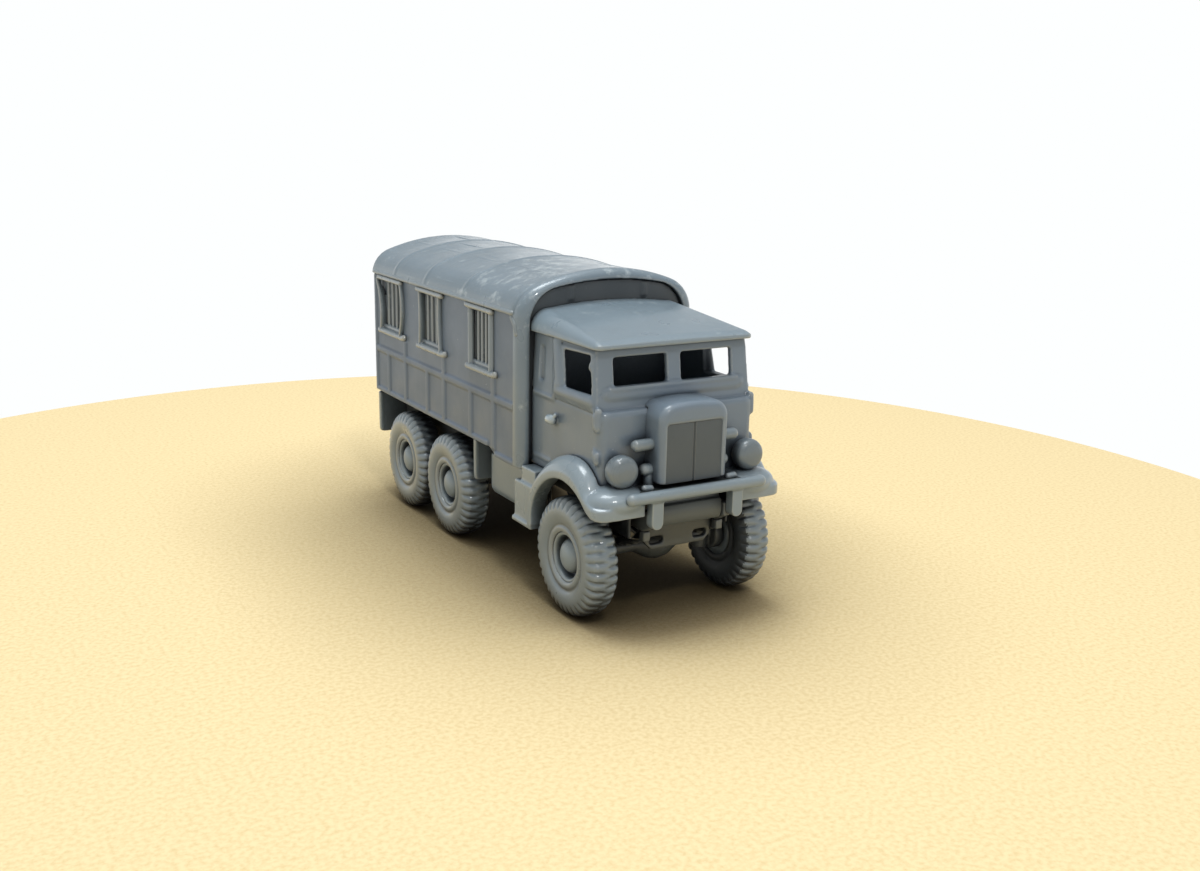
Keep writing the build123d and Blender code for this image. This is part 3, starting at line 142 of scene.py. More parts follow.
MODEL_MIDDLE = (0, 0, 0.03)
soft_lamp("overhead", (-0.02, 0.08, 0.55), MODEL_MIDDLE, size=0.24, power=2.0,
          colour=(0.90, 0.97, 1.0))
soft_lamp("edge_light", (-0.07, -0.34, 0.42), MODEL_MIDDLE, size=0.06, power=0.55,
          colour=(1.0, 0.99, 0.96))

CAMERA_PLACE = (-0.1013135, -0.1841225, 0.0718947)
CAMERA_RIGHT = (0.85961646, -0.51055872, 0.01973145)
CAMERA_UP = (0.10860917, 0.22032556, 0.96936097)
camera_data = bpy.data.cameras.new("camera")
camera_data.sensor_width = 36.0
camera_data.lens = 37.214
camera_data.clip_start = 0.01
camera_data.clip_end = 10
camera = bpy.data.objects.new("camera", camera_data)
scene.collection.objects.link(camera)
right, up = Vector(CAMERA_RIGHT), Vector(CAMERA_UP)
turn = Matrix((right, up, right.cross(up))).transposed().to_4x4()
turn.translation = Vector(CAMERA_PLACE)
camera.matrix_world = turn
scene.camera = camera


# ---- wheels -----------------------------------------------------------------
# All pieces are cast in one grey resin: satin, slightly translucent, with faint layer
# lines and a few pale specks. Each tyre has two staggered rows of rounded lugs and a
# stepped bead ring; the dished disc with its domed hub sits in it.
RESIN_DEEP, RESIN_PALE = (0.150, 0.186, 0.212), (0.166, 0.203, 0.230)
PAINTED_EDGE_GLOW = (0.33, 0.345, 0.335)
ROOT_SHADE, UNLIT = (0.035, 0.042, 0.05, 1), (0.012, 0.014, 0.018, 1)
SPECK_COLOUR, BLOOM_COLOUR = (0.42, 0.45, 0.46, 1), (0.50, 0.55, 0.57, 1)
BLOOM_MIDDLE = (-0.003, -0.007, 0.0495)


def make_resin(name, gloss=0.36, coat=0.25, dust=0.0, lines="Y", tone=1.0,
               tint=(1.0, 1.0, 1.0), hidden=0.10, glow=0.45):
    """Grey casting resin: dust is the bloom on it, lines the way its layers run, tone its
    lightness, which gives lit and shaded copies of it as painted light and shade, hidden
    the open share of sky that leaves a corner dark, glow how far thin edges are painted
    paler as painted light."""
    mat = bpy.data.materials.new(name)
    mat.use_nodes = True
    tree = mat.node_tree
    shader = tree.nodes["Principled BSDF"]
    for socket, value in (
            ("IOR", 1.5), ("Subsurface Weight", 0.2), ("Subsurface Radius", (1.0, 0.85, 0.7)),
            ("Subsurface Scale", 0.0006), ("Coat Weight", coat), ("Coat Roughness", 0.07)):
        shader.inputs[socket].default_value = value
    coord = add_node(tree, "TexCoord").outputs["Object"]

    def tinted(colour):
        return (*(part * tone * share for part, share in zip(colour, tint)), 1)

    def noise(scale, detail, **more):
        """Cloudy pattern fixed to the piece."""
        grains = add_node(tree, "TexNoise", {"Scale": scale, "Detail": detail, **more})
        tree.links.new(coord, grains.inputs["Vector"])
        return grains.outputs["Fac"]

    def spread(value, old, new):
        """Carry a value over from the old (low, high) to the new."""
        span = add_node(tree, "MapRange", {"From Min": old[0], "From Max": old[1],
                                           "To Min": new[0], "To Max": new[1]})
        tree.links.new(value, span.inputs["Value"])
        return span.outputs["Result"]

    def lay_over(colour, upper, factor):
        """Lay a plain upper colour over a colour, as strongly as factor says."""
        mix = add_node(tree, "Mix", {"B": upper}, data_type="RGBA")
        tree.links.new(factor, mix.inputs["Factor"])
        tree.links.new(colour, mix.inputs["A"])
        return mix.outputs["Result"]

    colour = two_tones(tree, noise(scale=120.0, detail=5.0), (0.3, tinted(RESIN_DEEP)),
                       (0.7, tinted(RESIN_PALE)))
    # painted light and shade: thin edges are painted paler and warmer, as if lit through, and
    # roots are painted darker
    bend = add_node(tree, "Attribute", attribute_name="bend").outputs["Fac"]
    painted_edge_glow = [part * min(1, tone) for part in PAINTED_EDGE_GLOW] + [1]
    colour = lay_over(colour, painted_edge_glow, spread(bend, (0.35, 1.7), (0.0, glow)))
    colour = lay_over(colour, ROOT_SHADE, spread(bend, (-0.15, -1.3), (0.0, 0.38)))
    # pale specks
    colour = lay_over(colour, SPECK_COLOUR, spread(noise(scale=2400.0, detail=2.0),
                                                   (0.76, 0.80), (0.0, 1.0)))
    if dust:
        # white bloom, thickest on the crown just behind the front edge
        away = add_node(tree, "VectorMath", {1: BLOOM_MIDDLE}, operation="DISTANCE")
        tree.links.new(coord, away.inputs[0])
        patchy = add_node(tree, "Math", operation="ADD")
        tree.links.new(noise(scale=420.0, detail=8.0, Roughness=0.68), patchy.inputs[0])
        tree.links.new(spread(away.outputs["Value"], (0.004, 0.022), (0.14, 0.0)),
                       patchy.inputs[1])
        colour = lay_over(colour, BLOOM_COLOUR,
                          spread(patchy.outputs["Value"], (0.60, 0.78), (0.0, dust)))
    # corners and the inside, where light hardly reaches
    shade = add_node(tree, "AmbientOcclusion", {"Distance": 0.02}, samples=8)
    shaded = add_node(tree, "Mix", {"A": UNLIT}, data_type="RGBA")
    tree.links.new(spread(shade.outputs["AO"], (hidden, 0.60), (0.0, 1.0)),
                   shaded.inputs["Factor"])
    tree.links.new(colour, shaded.inputs["B"])
    tree.links.new(shaded.outputs["Result"], shader.inputs["Base Color"])

    # uneven gloss
    tree.links.new(spread(noise(scale=220.0, detail=4.0), (0.3, 0.7),
                          (gloss - 0.07, gloss + 0.09)), shader.inputs["Roughness"])
    # layer lines and grain
    layers = add_node(tree, "TexWave", {"Scale": 1500.0, "Distortion": 1.2, "Detail": 1.0},
                      wave_type="BANDS", bands_direction=lines)
    tree.links.new(coord, layers.inputs["Vector"])
    height = add_node(tree, "Math", {1: 0.35}, operation="MULTIPLY_ADD")
    tree.links.new(layers.outputs["Fac"], height.inputs[0])
    tree.links.new(noise(scale=1300.0, detail=3.0), height.inputs[2])
    bump = add_node(tree, "Bump", {"Strength": 0.35, "Distance": 0.00004})
    tree.links.new(height.outputs["Value"], bump.inputs["Height"])
    tree.links.new(bump.outputs["Normal"], shader.inputs["Normal"])
    return mat


# painted light: the tyres are a slightly lighter copy of the resin and the hub discs a much
# lighter one; shadow_resin is a near-black copy for painted shade
tyre_resin = make_resin("tyre_resin", gloss=0.33, coat=0.55, tone=1.1, hidden=0.24)
lit_hub_resin = make_resin("lit_hub_resin", gloss=0.40, coat=0.3, tone=1.4)
shadow_resin = make_resin("shadow_resin", gloss=0.5, coat=0.0, tone=0.25, hidden=0.2)
MM = 0.001


def note_bend(mesh):
    """Store at each vertex, per millimetre, how sharply the surface bends outwards."""
    count = len(mesh.vertices)
    place = np.empty(count * 3)
    mesh.vertices.foreach_get("co", place)
    place = place.reshape(-1, 3)
    facing = np.empty(count * 3)
    mesh.vertex_normals.foreach_get("vector", facing)
    facing = facing.reshape(-1, 3)
    ends = np.empty(len(mesh.edges) * 2, dtype=np.int32)
    mesh.edges.foreach_get("vertices", ends)
    ends = ends.reshape(-1, 2)
    here = np.concatenate((ends[:, 0], ends[:, 1]))
    there = np.concatenate((ends[:, 1], ends[:, 0]))
    step = place[there] - place[here]
    reach = np.bincount(here, (step ** 2).sum(axis=1), count)
    fall = np.bincount(here, -(step * facing[here]).sum(axis=1), count)
    bend = 2 * fall / np.maximum(reach, 1e-9)
    degree = np.maximum(np.bincount(here, minlength=count), 1)
    for _ in range(2):
        bend = 0.5 * bend + 0.5 * np.bincount(here, bend[there], count) / degree
    mesh.attributes.new("bend", "FLOAT", "POINT").data.foreach_set("value", bend)


def add_piece(name, bm, material, body, *replaced):
    """Turn a finished bmesh, in millimetres, into a piece that rides on body."""
    mesh = bpy.data.meshes.new(name)
    bm.to_mesh(mesh)
    bm.free()
    if "bend" not in mesh.attributes:
        note_bend(mesh)
    mesh.transform(Matrix.Diagonal((MM, MM, MM, 1)))
    for face in mesh.polygons:
        face.use_smooth = True
    mesh.materials.append(material)
    piece = bpy.data.objects.new(name, mesh)
    scene.collection.objects.link(piece)
    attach(piece, body)
    if replaced:
        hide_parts(*replaced)
    return piece


SIDES = (("right", -1), ("left", 1))
AXLES = {"front": -32.2, "middle": 10.6, "rear": 29.6}
HUB_Z = 9.1
WHEEL_OUTER_X = 16.3
TYRE_HALF = 2.6
LUGS, STEPS_PER_LUG = 36, 8
LUG_DEPTH, LUG_LEAN, LUG_SKEW = 0.85, 0.35, 0.10
LUG_FOOT_RADIUS, LUG_FOOT_FADE = 7.3, 0.9
LUG_GROOVE, LUG_GROOVE_FADE = 0.03, 0.25
DISC_STEPS = 96
# depth and radius of the painted shade on the tyres' inboard side
SHADED_DEPTH, SHADED_RADIUS = 3.9, 8.5
# outer half of the tyre's section, from the rim to the crown: depth, radius
TYRE_SECTION = [
    (0.95, 3.78), (0.66, 3.78), (0.50, 3.84), (0.36, 4.0), (0.28, 4.2), (0.25, 4.42),
    (0.30, 4.64), (0.40, 4.82), (0.47, 4.96), (0.43, 5.12), (0.30, 5.35), (0.15, 5.7),
    (0.05, 6.15), (0.0, 6.6), (0.03, 7.05), (0.10, 7.45), (0.20, 7.85), (0.32, 8.18),
    (0.48, 8.45), (0.68, 8.68), (0.92, 8.85), (1.22, 8.97), (1.60, 9.04), (2.0, 9.08),
    (2.35, 9.1),
]
tyre_line = TYRE_SECTION + [(2 * TYRE_HALF - d, r) for d, r in reversed(TYRE_SECTION)]
tyre_line.append(tyre_line[0])
# disc from the hub's tip over the dished floor to the rim's flange and round the back
DISC_SECTION = [
    (0.35, 0.0), (0.37, 0.5), (0.45, 1.0), (0.58, 1.45), (0.78, 1.88), (1.04, 2.22),
    (1.34, 2.46), (1.68, 2.60), (2.1, 2.66), (2.4, 2.72), (2.5, 2.90), (2.42, 3.12),
    (2.1, 3.2), (1.5, 3.22), (1.05, 3.27), (0.80, 3.38), (0.68, 3.55), (0.66, 3.72),
    (0.74, 3.8), (1.0, 3.8), (4.6, 3.8), (4.6, 1.27), (2.6, 1.27), (2.6, 0.0),
]


def share_of(value, start, span):
    """How far value has come from start over a signed span, from 0 to 1."""
    return min(1.0, max(0.0, (value - start) / span))


def spin_line(bm, line, centre, axis, steps, weld):
    """Spin a line of points round an axis through centre into a closed skin."""
    ring = [bm.verts.new(point) for point in line]
    for pair in zip(ring, ring[1:]):
        bm.edges.new(pair)
    bmesh.ops.spin(bm, geom=bm.verts[:] + bm.edges[:], cent=centre, axis=axis,
                   angle=2 * math.pi, steps=steps, use_merge=True)
    bmesh.ops.remove_doubles(bm, verts=bm.verts[:], dist=weld)
    bmesh.ops.recalc_face_normals(bm, faces=bm.faces[:])


def spin_wheel(bm, section, axle_y, s, steps):
    """Spin a section (depth from the outer plane, radius) round an axle on side s."""
    line = [(s * WHEEL_OUTER_X - s * d, axle_y, HUB_Z + r) for d, r in section]
    spin_line(bm, line, (0, axle_y, HUB_Z), (1, 0, 0), steps, weld=1e-4)


def lug_cut(angle, across):
    """Depth, from 0 to 1, of the cut between lugs; across runs from -1 to 1, and the
    lugs of one half stand opposite the gaps of the other."""
    stagger = 0.0 if across < 0 else 0.5
    phase = (angle / (2 * math.pi) * LUGS + stagger + LUG_SKEW * abs(across)) % 1.0
    gap = abs(phase - 0.5) * 2                # 0 in the middle of a lug, 1 in the gap
    cut = 1 - math.sqrt(1 - gap ** 3)
    return cut * share_of(abs(across), LUG_GROOVE, LUG_GROOVE_FADE)


def cut_lugs(bm, axle_y, s):
    """Sink the gaps between the lugs into a spun tyre."""
    for vert in bm.verts:
        dy, dz = vert.co.y - axle_y, vert.co.z - HUB_Z
        radius = math.hypot(dy, dz)
        if radius < LUG_FOOT_RADIUS:
            continue
        across = (vert.co.x - s * (WHEEL_OUTER_X - TYRE_HALF)) / TYRE_HALF
        fade = share_of(radius, LUG_FOOT_RADIUS, LUG_FOOT_FADE)
        depth = LUG_DEPTH * lug_cut(math.atan2(dz, dy), across) * fade
        vert.co.y = axle_y + dy * (radius - depth) / radius
        vert.co.z = HUB_Z + dz * (radius - depth) / radius
        vert.co.x -= math.copysign(LUG_LEAN * depth, across) * abs(across) ** 2


def paint_inboard_shade(bm, axle_y):
    """Paint the side that faces the chassis, near the axle, with the dark resin, as painted
    shade.
    """
    for face in bm.faces:
        seat = face.calc_center_median()
        inboard = WHEEL_OUTER_X - abs(seat.x) > SHADED_DEPTH
        from_axle = math.hypot(seat.y - axle_y, seat.z - HUB_Z)
        face.material_index = int(inboard and from_axle < SHADED_RADIUS)


for axle, axle_y in AXLES.items():
    for side, s in SIDES:
        wheel = f"{axle}_{side}"
        bm = bmesh.new()
        spin_wheel(bm, tyre_line, axle_y, s, LUGS * STEPS_PER_LUG)
        cut_lugs(bm, axle_y, s)
        paint_inboard_shade(bm, axle_y)
        tyre = add_piece(f"lugged_tyre_{wheel}", bm, tyre_resin, f"wheel_{wheel}",
                         f"tyre_{wheel}")
        tyre.data.materials.append(shadow_resin)
        bm = bmesh.new()
        spin_wheel(bm, DISC_SECTION, axle_y, s, DISC_STEPS)
        add_piece(f"hub_disc_{wheel}", bm, lit_hub_resin, f"wheel_{wheel}", f"disc_{wheel}")


# ---- chassis and running gear -----------------------------------------------
# Axles, springs, rails and the drive line are thick simple castings. Like every
# casting from a soft mould they have no sharp edge: corners and roots flow into fillets.
NODE_WELD = 2e-6
RUNNING_GEAR = (
    "front_axle", "middle_axle", "rear_axle", "front_spring_right", "front_spring_left",
    "bogie_spring_right", "bogie_spring_left", "transfer_box", "engine_block", "tow_plate",
    "chassis_rail_right", "chassis_rail_left", "propeller_shafts",
)
# dark sheets of painted shade inboard of the wheels, on each side: x, ends along y, ends
# along z
SHADE_SHEETS = {"front": (8.7, (-39.0, -22.5), (12.9, 18.8)),
            "rear": (10.0, (1.0, 42.8), (12.4, 21.2))}
SHADE_SHEET_THICKNESS = 0.5
NOSE_SHADE_FLOOR_MIDDLE, NOSE_SHADE_FLOOR_SIZE = (0, -40.0, 20.5), (18.0, 4.4, 0.6)


def melt_together(bm, voxel, flow, share=0.3):
    """Fuse closed shapes, in millimetres, into one skin, round it by flow passes, and
    keep only a share of its faces, most of them where it bends."""
    lump_mesh = bpy.data.meshes.new("lump")
    bm.to_mesh(lump_mesh)
    lump = bpy.data.objects.new("lump", lump_mesh)
    scene.collection.objects.link(lump)
    grid = lump.modifiers.new("grid", "REMESH")
    grid.mode = "VOXEL"
    grid.voxel_size = voxel
    flowing = lump.modifiers.new("flowing", "SMOOTH")
    flowing.factor = 0.5
    flowing.iterations = flow
    graph = bpy.context.evaluated_depsgraph_get()
    skin = bpy.data.meshes.new_from_object(lump.evaluated_get(graph))
    note_bend(skin)
    lump.modifiers.clear()
    lump.data = skin
    thin = lump.modifiers.new("thin", "DECIMATE")
    thin.ratio = share
    graph = bpy.context.evaluated_depsgraph_get()
    fewer = bpy.data.meshes.new_from_object(lump.evaluated_get(graph))
    bpy.data.objects.remove(lump)
    bm.clear()
    bm.from_mesh(fewer)
    for spare in (lump_mesh, skin, fewer):
        bpy.data.meshes.remove(spare)


def cast(name, material, voxel, flow, share=0.3, made_of=None, extra=None, shape=None):
    """Cast one piece over the frame nodes it is made of, or the one of its own name:
    extra adds shapes before they melt together, shape moves the finished skin."""
    made_of = made_of or [name]
    bm = bmesh.new()
    for node in made_of:
        bm.from_mesh(nodes[node].data)
    bmesh.ops.remove_doubles(bm, verts=bm.verts[:], dist=NODE_WELD)
    bmesh.ops.scale(bm, vec=(1 / MM,) * 3, verts=bm.verts[:])
    if extra:
        extra(bm)
    melt_together(bm, voxel, flow, share)
    if shape:
        shape(bm)
    return add_piece("cast_" + name, bm, material, "truck", *made_of)


def block(bm, middle, size):
    """Add a block round its middle."""
    bmesh.ops.create_cube(
        bm, matrix=Matrix.Translation(middle) @ Matrix.Diagonal((*size, 1)))


# painted shade: the underside's castings are a darker copy of the resin, warmed as if by the
# board's bounce light
shaded_chassis_resin = make_resin("shaded_chassis_resin", gloss=0.42, coat=0.1, tone=0.5,
                           tint=(1.06, 1.0, 0.9))
for name in RUNNING_GEAR:
    cast(name, shaded_chassis_resin, voxel=0.2, flow=5, share=0.2)
# painted shade: a darker copy still, for the crossmembers and the nose floor
deep_shade_resin = make_resin("deep_shade_resin", gloss=0.42, coat=0.1, tone=0.34, tint=(1.1, 1.0, 0.85))
cast("crossmembers", deep_shade_resin, voxel=0.2, flow=6, share=0.2)

# thin dark sheets inboard of the wheels are painted shade where the sight runs under the
# wings and the floor
for side, s in SIDES:
    for row, (x, y_ends, z_ends) in SHADE_SHEETS.items():
        bm = bmesh.new()
        block(bm, (s * x, sum(y_ends) / 2, sum(z_ends) / 2),
              (SHADE_SHEET_THICKNESS, y_ends[1] - y_ends[0], z_ends[1] - z_ends[0]))
        melt_together(bm, voxel=0.2, flow=2, share=0.1)
        add_piece(f"shade_sheet_{row}_{side}", bm, shadow_resin, "truck")
# and a small dark floor, painted shade, closes the sight under the radiator
bm = bmesh.new()
block(bm, NOSE_SHADE_FLOOR_MIDDLE, NOSE_SHADE_FLOOR_SIZE)
melt_together(bm, voxel=0.15, flow=3, share=0.1)
add_piece("nose_shade_floor", bm, deep_shade_resin, "truck")


# ---- bumper and apron -------------------------------------------------------
# The bumper is a round bar cast with its two rounded brackets, painted lighter than the frame
# behind it as painted light. The rolled apron between the rails' ends is cast like the rails.
lit_pale_resin = make_resin("lit_pale_resin", gloss=0.34, coat=0.35, tone=1.3)
cast("front_bumper", lit_pale_resin, voxel=0.12, flow=8)
cast("front_apron", shaded_chassis_resin, voxel=0.14, flow=10)


# ---- wings ------------------------------------------------------------------
# Each wing is one casting with the lamp's shelf, the panel behind the wheel and the
# step. Its crown is rolled over and glossy where resin ran back over the edge.
SEAT_X, SEAT_Y, SEAT_Z = 11.4, -39.5, 19.4
SEAT_RADII = (4.8, 3.7, 2.2)
# painted light: the wings and the marker lamps are a much lighter copy of the resin
glossy_lit_resin = make_resin("glossy_lit_resin", gloss=0.31, coat=0.5, tone=1.38)


def lamp_seat(s):
    """Swelling of the wing's front on side s, that the headlamp stands on."""
    def swell(bm):
        place = Matrix.Translation((s * SEAT_X, SEAT_Y, SEAT_Z))
        bmesh.ops.create_uvsphere(bm, u_segments=32, v_segments=20, radius=1,
                                  matrix=place @ Matrix.Diagonal((*SEAT_RADII, 1)))
    return swell


for side, s in SIDES:
    cast(f"wing_{side}", glossy_lit_resin, voxel=0.14, flow=20, extra=lamp_seat(s))


# ---- cab --------------------------------------------------------------------
# Hollow cab with open windscreen and door windows; round-edged frames, ledges, hinges
# and a door knob are raised on it. The roof is a thin shell that comes down to a peak.
ROUND = (1, 1, 1)
# rods raised on each side of the cab: points, radius, stretch of the section
CAB_RELIEF = {
    "window_jamb": (((13.1, -25.0, 40.6), (13.6, -25.9, 34.0)), 0.8, (0.8, 1.7, 1)),
    "window_sill": (((13.65, -25.6, 33.1), (13.65, -35.4, 33.15)), 0.92, (0.65, 1, 1)),
    "upper_hinge": (((13.55, -37.3, 29.6), (13.45, -37.3, 32.1)), 0.55, ROUND),
    "lower_hinge": (((13.55, -37.3, 24.7), (13.55, -37.3, 25.7)), 0.55, ROUND),
    "pillar_nub": (((13.2, -34.8, 38.4), (13.2, -34.7, 37.9)), 0.45, ROUND),
}
WINDSCREEN_LEDGE = ([(-11.6, -36.5, 34.2), (11.6, -36.5, 34.2)], 1.0, (1, 0.4, 1))
WINDSCREEN_BEAD = ([(-10.8, -36.6, 34.95), (10.8, -36.6, 34.95)], 0.38)
DOOR_HANDLE = {
    "stem": (((13.4, -25.0, 28.3), (14.3, -25.0, 28.4)), 0.5, ROUND),
    "knob": (((14.3, -24.4, 28.4), (14.35, -25.3, 28.5)), 0.78, ROUND),
    "tip": (((14.35, -25.8, 29.0), (14.2, -26.0, 29.3)), 0.3, ROUND),
}
# the right door's window: its opening, and how far its rear jamb and its sill are cut
# away behind the door's skin; a fade is the signed span over which a cut comes on
DOOR_INNER_X, DOOR_SKIN_X, SKIN_FADE = 11.0, 13.35, -0.9
OPENING_FRONT_Y, OPENING_REAR_Y, REAR_FADE = -36.6, -23.5, -3.0
OPENING_FOOT_Z, FOOT_FADE = 32.9, 0.6
OPENING_TOP_Z, TOP_FADE = 40.6, -0.5
JAMB_CUT, JAMB_START_Y, JAMB_FADE = 2.9, -31.0, 2.0
SILL_CUT, SILL_TOP_Z, SILL_FADE = 0.45, 35.0, -0.5


def rod(bm, points, radius, stretch=ROUND):
    """Add a round rod with ball ends through points; stretch widens its section."""
    for start, end in zip(points, points[1:]):
        start, end = Vector(start), Vector(end)
        aim = (end - start).to_track_quat("Z", "Y").to_matrix().to_4x4()
        place = Matrix.Translation((start + end) / 2) @ Matrix.Diagonal((*stretch, 1)) @ aim
        bmesh.ops.create_cone(bm, cap_ends=True, segments=16, radius1=radius,
                              radius2=radius, depth=(end - start).length, matrix=place)
    for point in points:
        place = Matrix.Translation(point) @ Matrix.Diagonal((*stretch, 1))
        bmesh.ops.create_uvsphere(bm, u_segments=16, v_segments=10, radius=radius,
                                  matrix=place)


def side_rods(bm, s, rods):
    """Add a table of rods, given for the left, on side s."""
    for points, radius, stretch in rods.values():
        rod(bm, [(s * x, y, z) for x, y, z in points], radius, stretch)


def cab_relief(bm):
    """Fat frames round the door windows, hinges, pillar nubs and the windscreen ledge."""
    for _, s in SIDES:
        side_rods(bm, s, CAB_RELIEF)
    rod(bm, *WINDSCREEN_LEDGE)
    rod(bm, *WINDSCREEN_BEAD)


def open_door(bm):
    """Cut the rear jamb and the sill of the right door's window back to the inside."""
    for vert in bm.verts:
        x, y, z = -vert.co.x, vert.co.y, vert.co.z
        if x < DOOR_INNER_X or not (OPENING_FRONT_Y < y < OPENING_REAR_Y
                                    and OPENING_FOOT_Z < z < OPENING_TOP_Z):
            continue
        deep = share_of(x, DOOR_SKIN_X, SKIN_FADE)
        level = min(share_of(z, OPENING_FOOT_Z, FOOT_FADE),
                    share_of(z, OPENING_TOP_Z, TOP_FADE))
        back = share_of(y, OPENING_REAR_Y, REAR_FADE) * share_of(y, JAMB_START_Y, JAMB_FADE)
        low = share_of(z, SILL_TOP_Z, SILL_FADE) * level
        vert.co.y += JAMB_CUT * deep * level * back
        vert.co.z -= SILL_CUT * deep * low


cab_resin = make_resin("cab_resin", gloss=0.36, coat=0.25, tint=(0.95, 0.98, 1.06))
cast("cab_shell", cab_resin, voxel=0.19, flow=8, share=0.36, extra=cab_relief,
     shape=open_door)
# painted light: the cab roof is a lighter copy of the resin, tinted blue as if lit by the
# sky, with a pale bloom over it
lit_cab_roof_resin = make_resin("lit_cab_roof_resin", gloss=0.33, coat=0.45, dust=0.3, tone=1.14,
                            tint=(1.0, 1.04, 1.07))
cast("cab_roof", lit_cab_roof_resin, voxel=0.17, flow=9, share=0.4)

# painted highlight: the door knobs are a glossy copy of the resin painted twice as light
painted_highlight_resin = make_resin("painted_highlight_resin", gloss=0.22, coat=1.0, tone=2.0)
for side, s in SIDES:
    bm = bmesh.new()
    side_rods(bm, s, DOOR_HANDLE)
    melt_together(bm, voxel=0.1, flow=4)
    add_piece(f"door_handle_{side}", bm, painted_highlight_resin, "truck")


# ---- radiator, lamps and arms -----------------------------------------------
# The cowl has strongly rounded edges; two flat louvre panels meet at a groove. The
# lamps are flattened balls on the wings' shelves, with a small lamp and an arm inboard.
COWL_BACK_Y, COWL_RUN_ON = -38.6, 0.4
GRILLE_MIDDLE_Z, GRILLE_GROWTH = 25.9, (1.07, 1, 1.03)
LAMP_X, LAMP_Y, LAMP_Z = 11.15, -40.4, 23.75
LAMP_STEPS = 64
# lamp from its face to its back: offset along y, radius
LAMP_SECTION = [
    (-1.36, 0.0), (-1.34, 0.8), (-1.25, 1.45), (-1.06, 1.9), (-0.78, 2.2), (-0.38, 2.37),
    (0.2, 2.41), (0.9, 2.35), (1.4, 2.1), (1.8, 1.6), (2.0, 0.9), (2.05, 0.0),
]
# the lamp's foot: offsets from its middle along y and z, height of its root, radius
FOOT_BACK, FOOT_TOP, FOOT_ROOT_Z, FOOT_RADIUS = 0.7, -1.2, 20.9, 1.2
MARKER_LAMP = {
    "body": (((6.9, -39.6, 23.4), (5.2, -39.6, 23.35)), 0.92, ROUND),
    "stalk": (((6.2, -39.5, 22.9), (6.1, -39.5, 21.0)), 0.8, ROUND),
    "lug": (((7.9, -41.3, 21.1), (6.9, -41.3, 21.0)), 0.55, ROUND),
}
SIDE_ARM = {"arm": (((8.5, -39.8, 27.15), (5.2, -39.8, 27.2)), 0.88, ROUND)}


def cowl_root(bm):
    """Run the cowl on into the cab's front."""
    for vert in bm.verts:
        if vert.co.y > COWL_BACK_Y:
            vert.co.y += COWL_RUN_ON


def grille_seat(bm):
    """Let the two panels run out under the cowl's rounded edge."""
    bmesh.ops.scale(bm, vec=GRILLE_GROWTH, verts=bm.verts[:],
                    space=Matrix.Translation((0, 0, -GRILLE_MIDDLE_Z)))


cast("radiator_cowl", cab_resin, voxel=0.14, flow=24, extra=cowl_root)
# painted shade: the recessed grille is a much darker copy of the resin
shaded_grille_resin = make_resin("shaded_grille_resin", gloss=0.42, coat=0.1, lines="X", tone=0.42)
cast("radiator_grille", shaded_grille_resin, voxel=0.10, flow=4, extra=grille_seat)

# painted shade: the headlamps are a slightly darker copy of the resin
lamp_resin = make_resin("lamp_resin", gloss=0.34, coat=0.45, tone=0.84)
smooth_resin = make_resin("smooth_resin", gloss=0.34, coat=0.3)
for side, s in SIDES:
    bm = bmesh.new()
    spin_line(bm, [(s * LAMP_X, LAMP_Y + y, LAMP_Z + r) for y, r in LAMP_SECTION],
              (s * LAMP_X, LAMP_Y, LAMP_Z), (0, 1, 0), LAMP_STEPS, weld=1e-3)
    rod(bm, [(s * LAMP_X, LAMP_Y + FOOT_BACK, z) for z in (LAMP_Z + FOOT_TOP, FOOT_ROOT_Z)],
        FOOT_RADIUS)
    melt_together(bm, voxel=0.12, flow=3)
    add_piece(f"lamp_{side}", bm, lamp_resin, "truck", f"headlamp_{side}")

    bm = bmesh.new()
    side_rods(bm, s, MARKER_LAMP)
    melt_together(bm, voxel=0.1, flow=3)
    add_piece(f"marker_lamp_{side}", bm, glossy_lit_resin, "truck", f"side_lamp_{side}")

    bm = bmesh.new()
    side_rods(bm, s, SIDE_ARM)
    melt_together(bm, voxel=0.12, flow=4)
    add_piece(f"arm_{side}", bm, smooth_resin, "truck", f"side_arm_{side}")


# ---- house body -------------------------------------------------------------
# Panelled box: relief rails and ribs on the sides, windows with hoods, sills and bars,
# a rolled front frame round the recessed bulkhead, and a tilt-shaped roof in one skin.
JAMB_X, JAMB_TOP_Z, JAMB_HEIGHT, JAMB_STEPS = 15.72, 42.1, 9.5, 8
# windows: top y, foot y and bow of the rear jamb, the same of the front one, and the
# radius and depth of both
WINDOW_SHAPES = {
    "front": ((0.1, 0.1, 0.0), (-7.6, -7.6, 0.0), 0.62, 1.0),
    "middle": ((20.9, 21.0, -0.25), (12.4, 12.0, 0.3), 0.3, 2.6),
    "rear": ((41.6, 39.9, -1.0), (30.0, 30.5, -0.9), 0.3, 2.6),
}
BLIND_X, BLIND_Z, BLIND_THICKNESS, BLIND_HEIGHT = 14.8, 37.6, 0.5, 9.4
BAR_X, BAR_TOP_Z, BAR_FOOT_Z, BAR_RADIUS = 15.3, 42.0, 33.0, 0.32
BAR_SHARES = (0.32, 0.55, 0.78)
LEDGE_Z, LEDGE_INSET, LEDGE_RADIUS = 33.2, 0.4, 0.42
HOOD_X, HOOD_RADIUS, HOOD_STRETCH = 15.95, 0.5, (1.15, 1, 1)
HOOD_REAR, HOOD_FRONT = (1.1, 42.5), (-0.4, 42.45)
SILL_X, SILL_TIP_X, SILL_RADIUS = 15.93, 15.95, 0.58
SILL_REAR, SILL_FRONT, SILL_TIP = (1.0, 32.35), (-1.0, 32.35), (-1.6, 32.5)
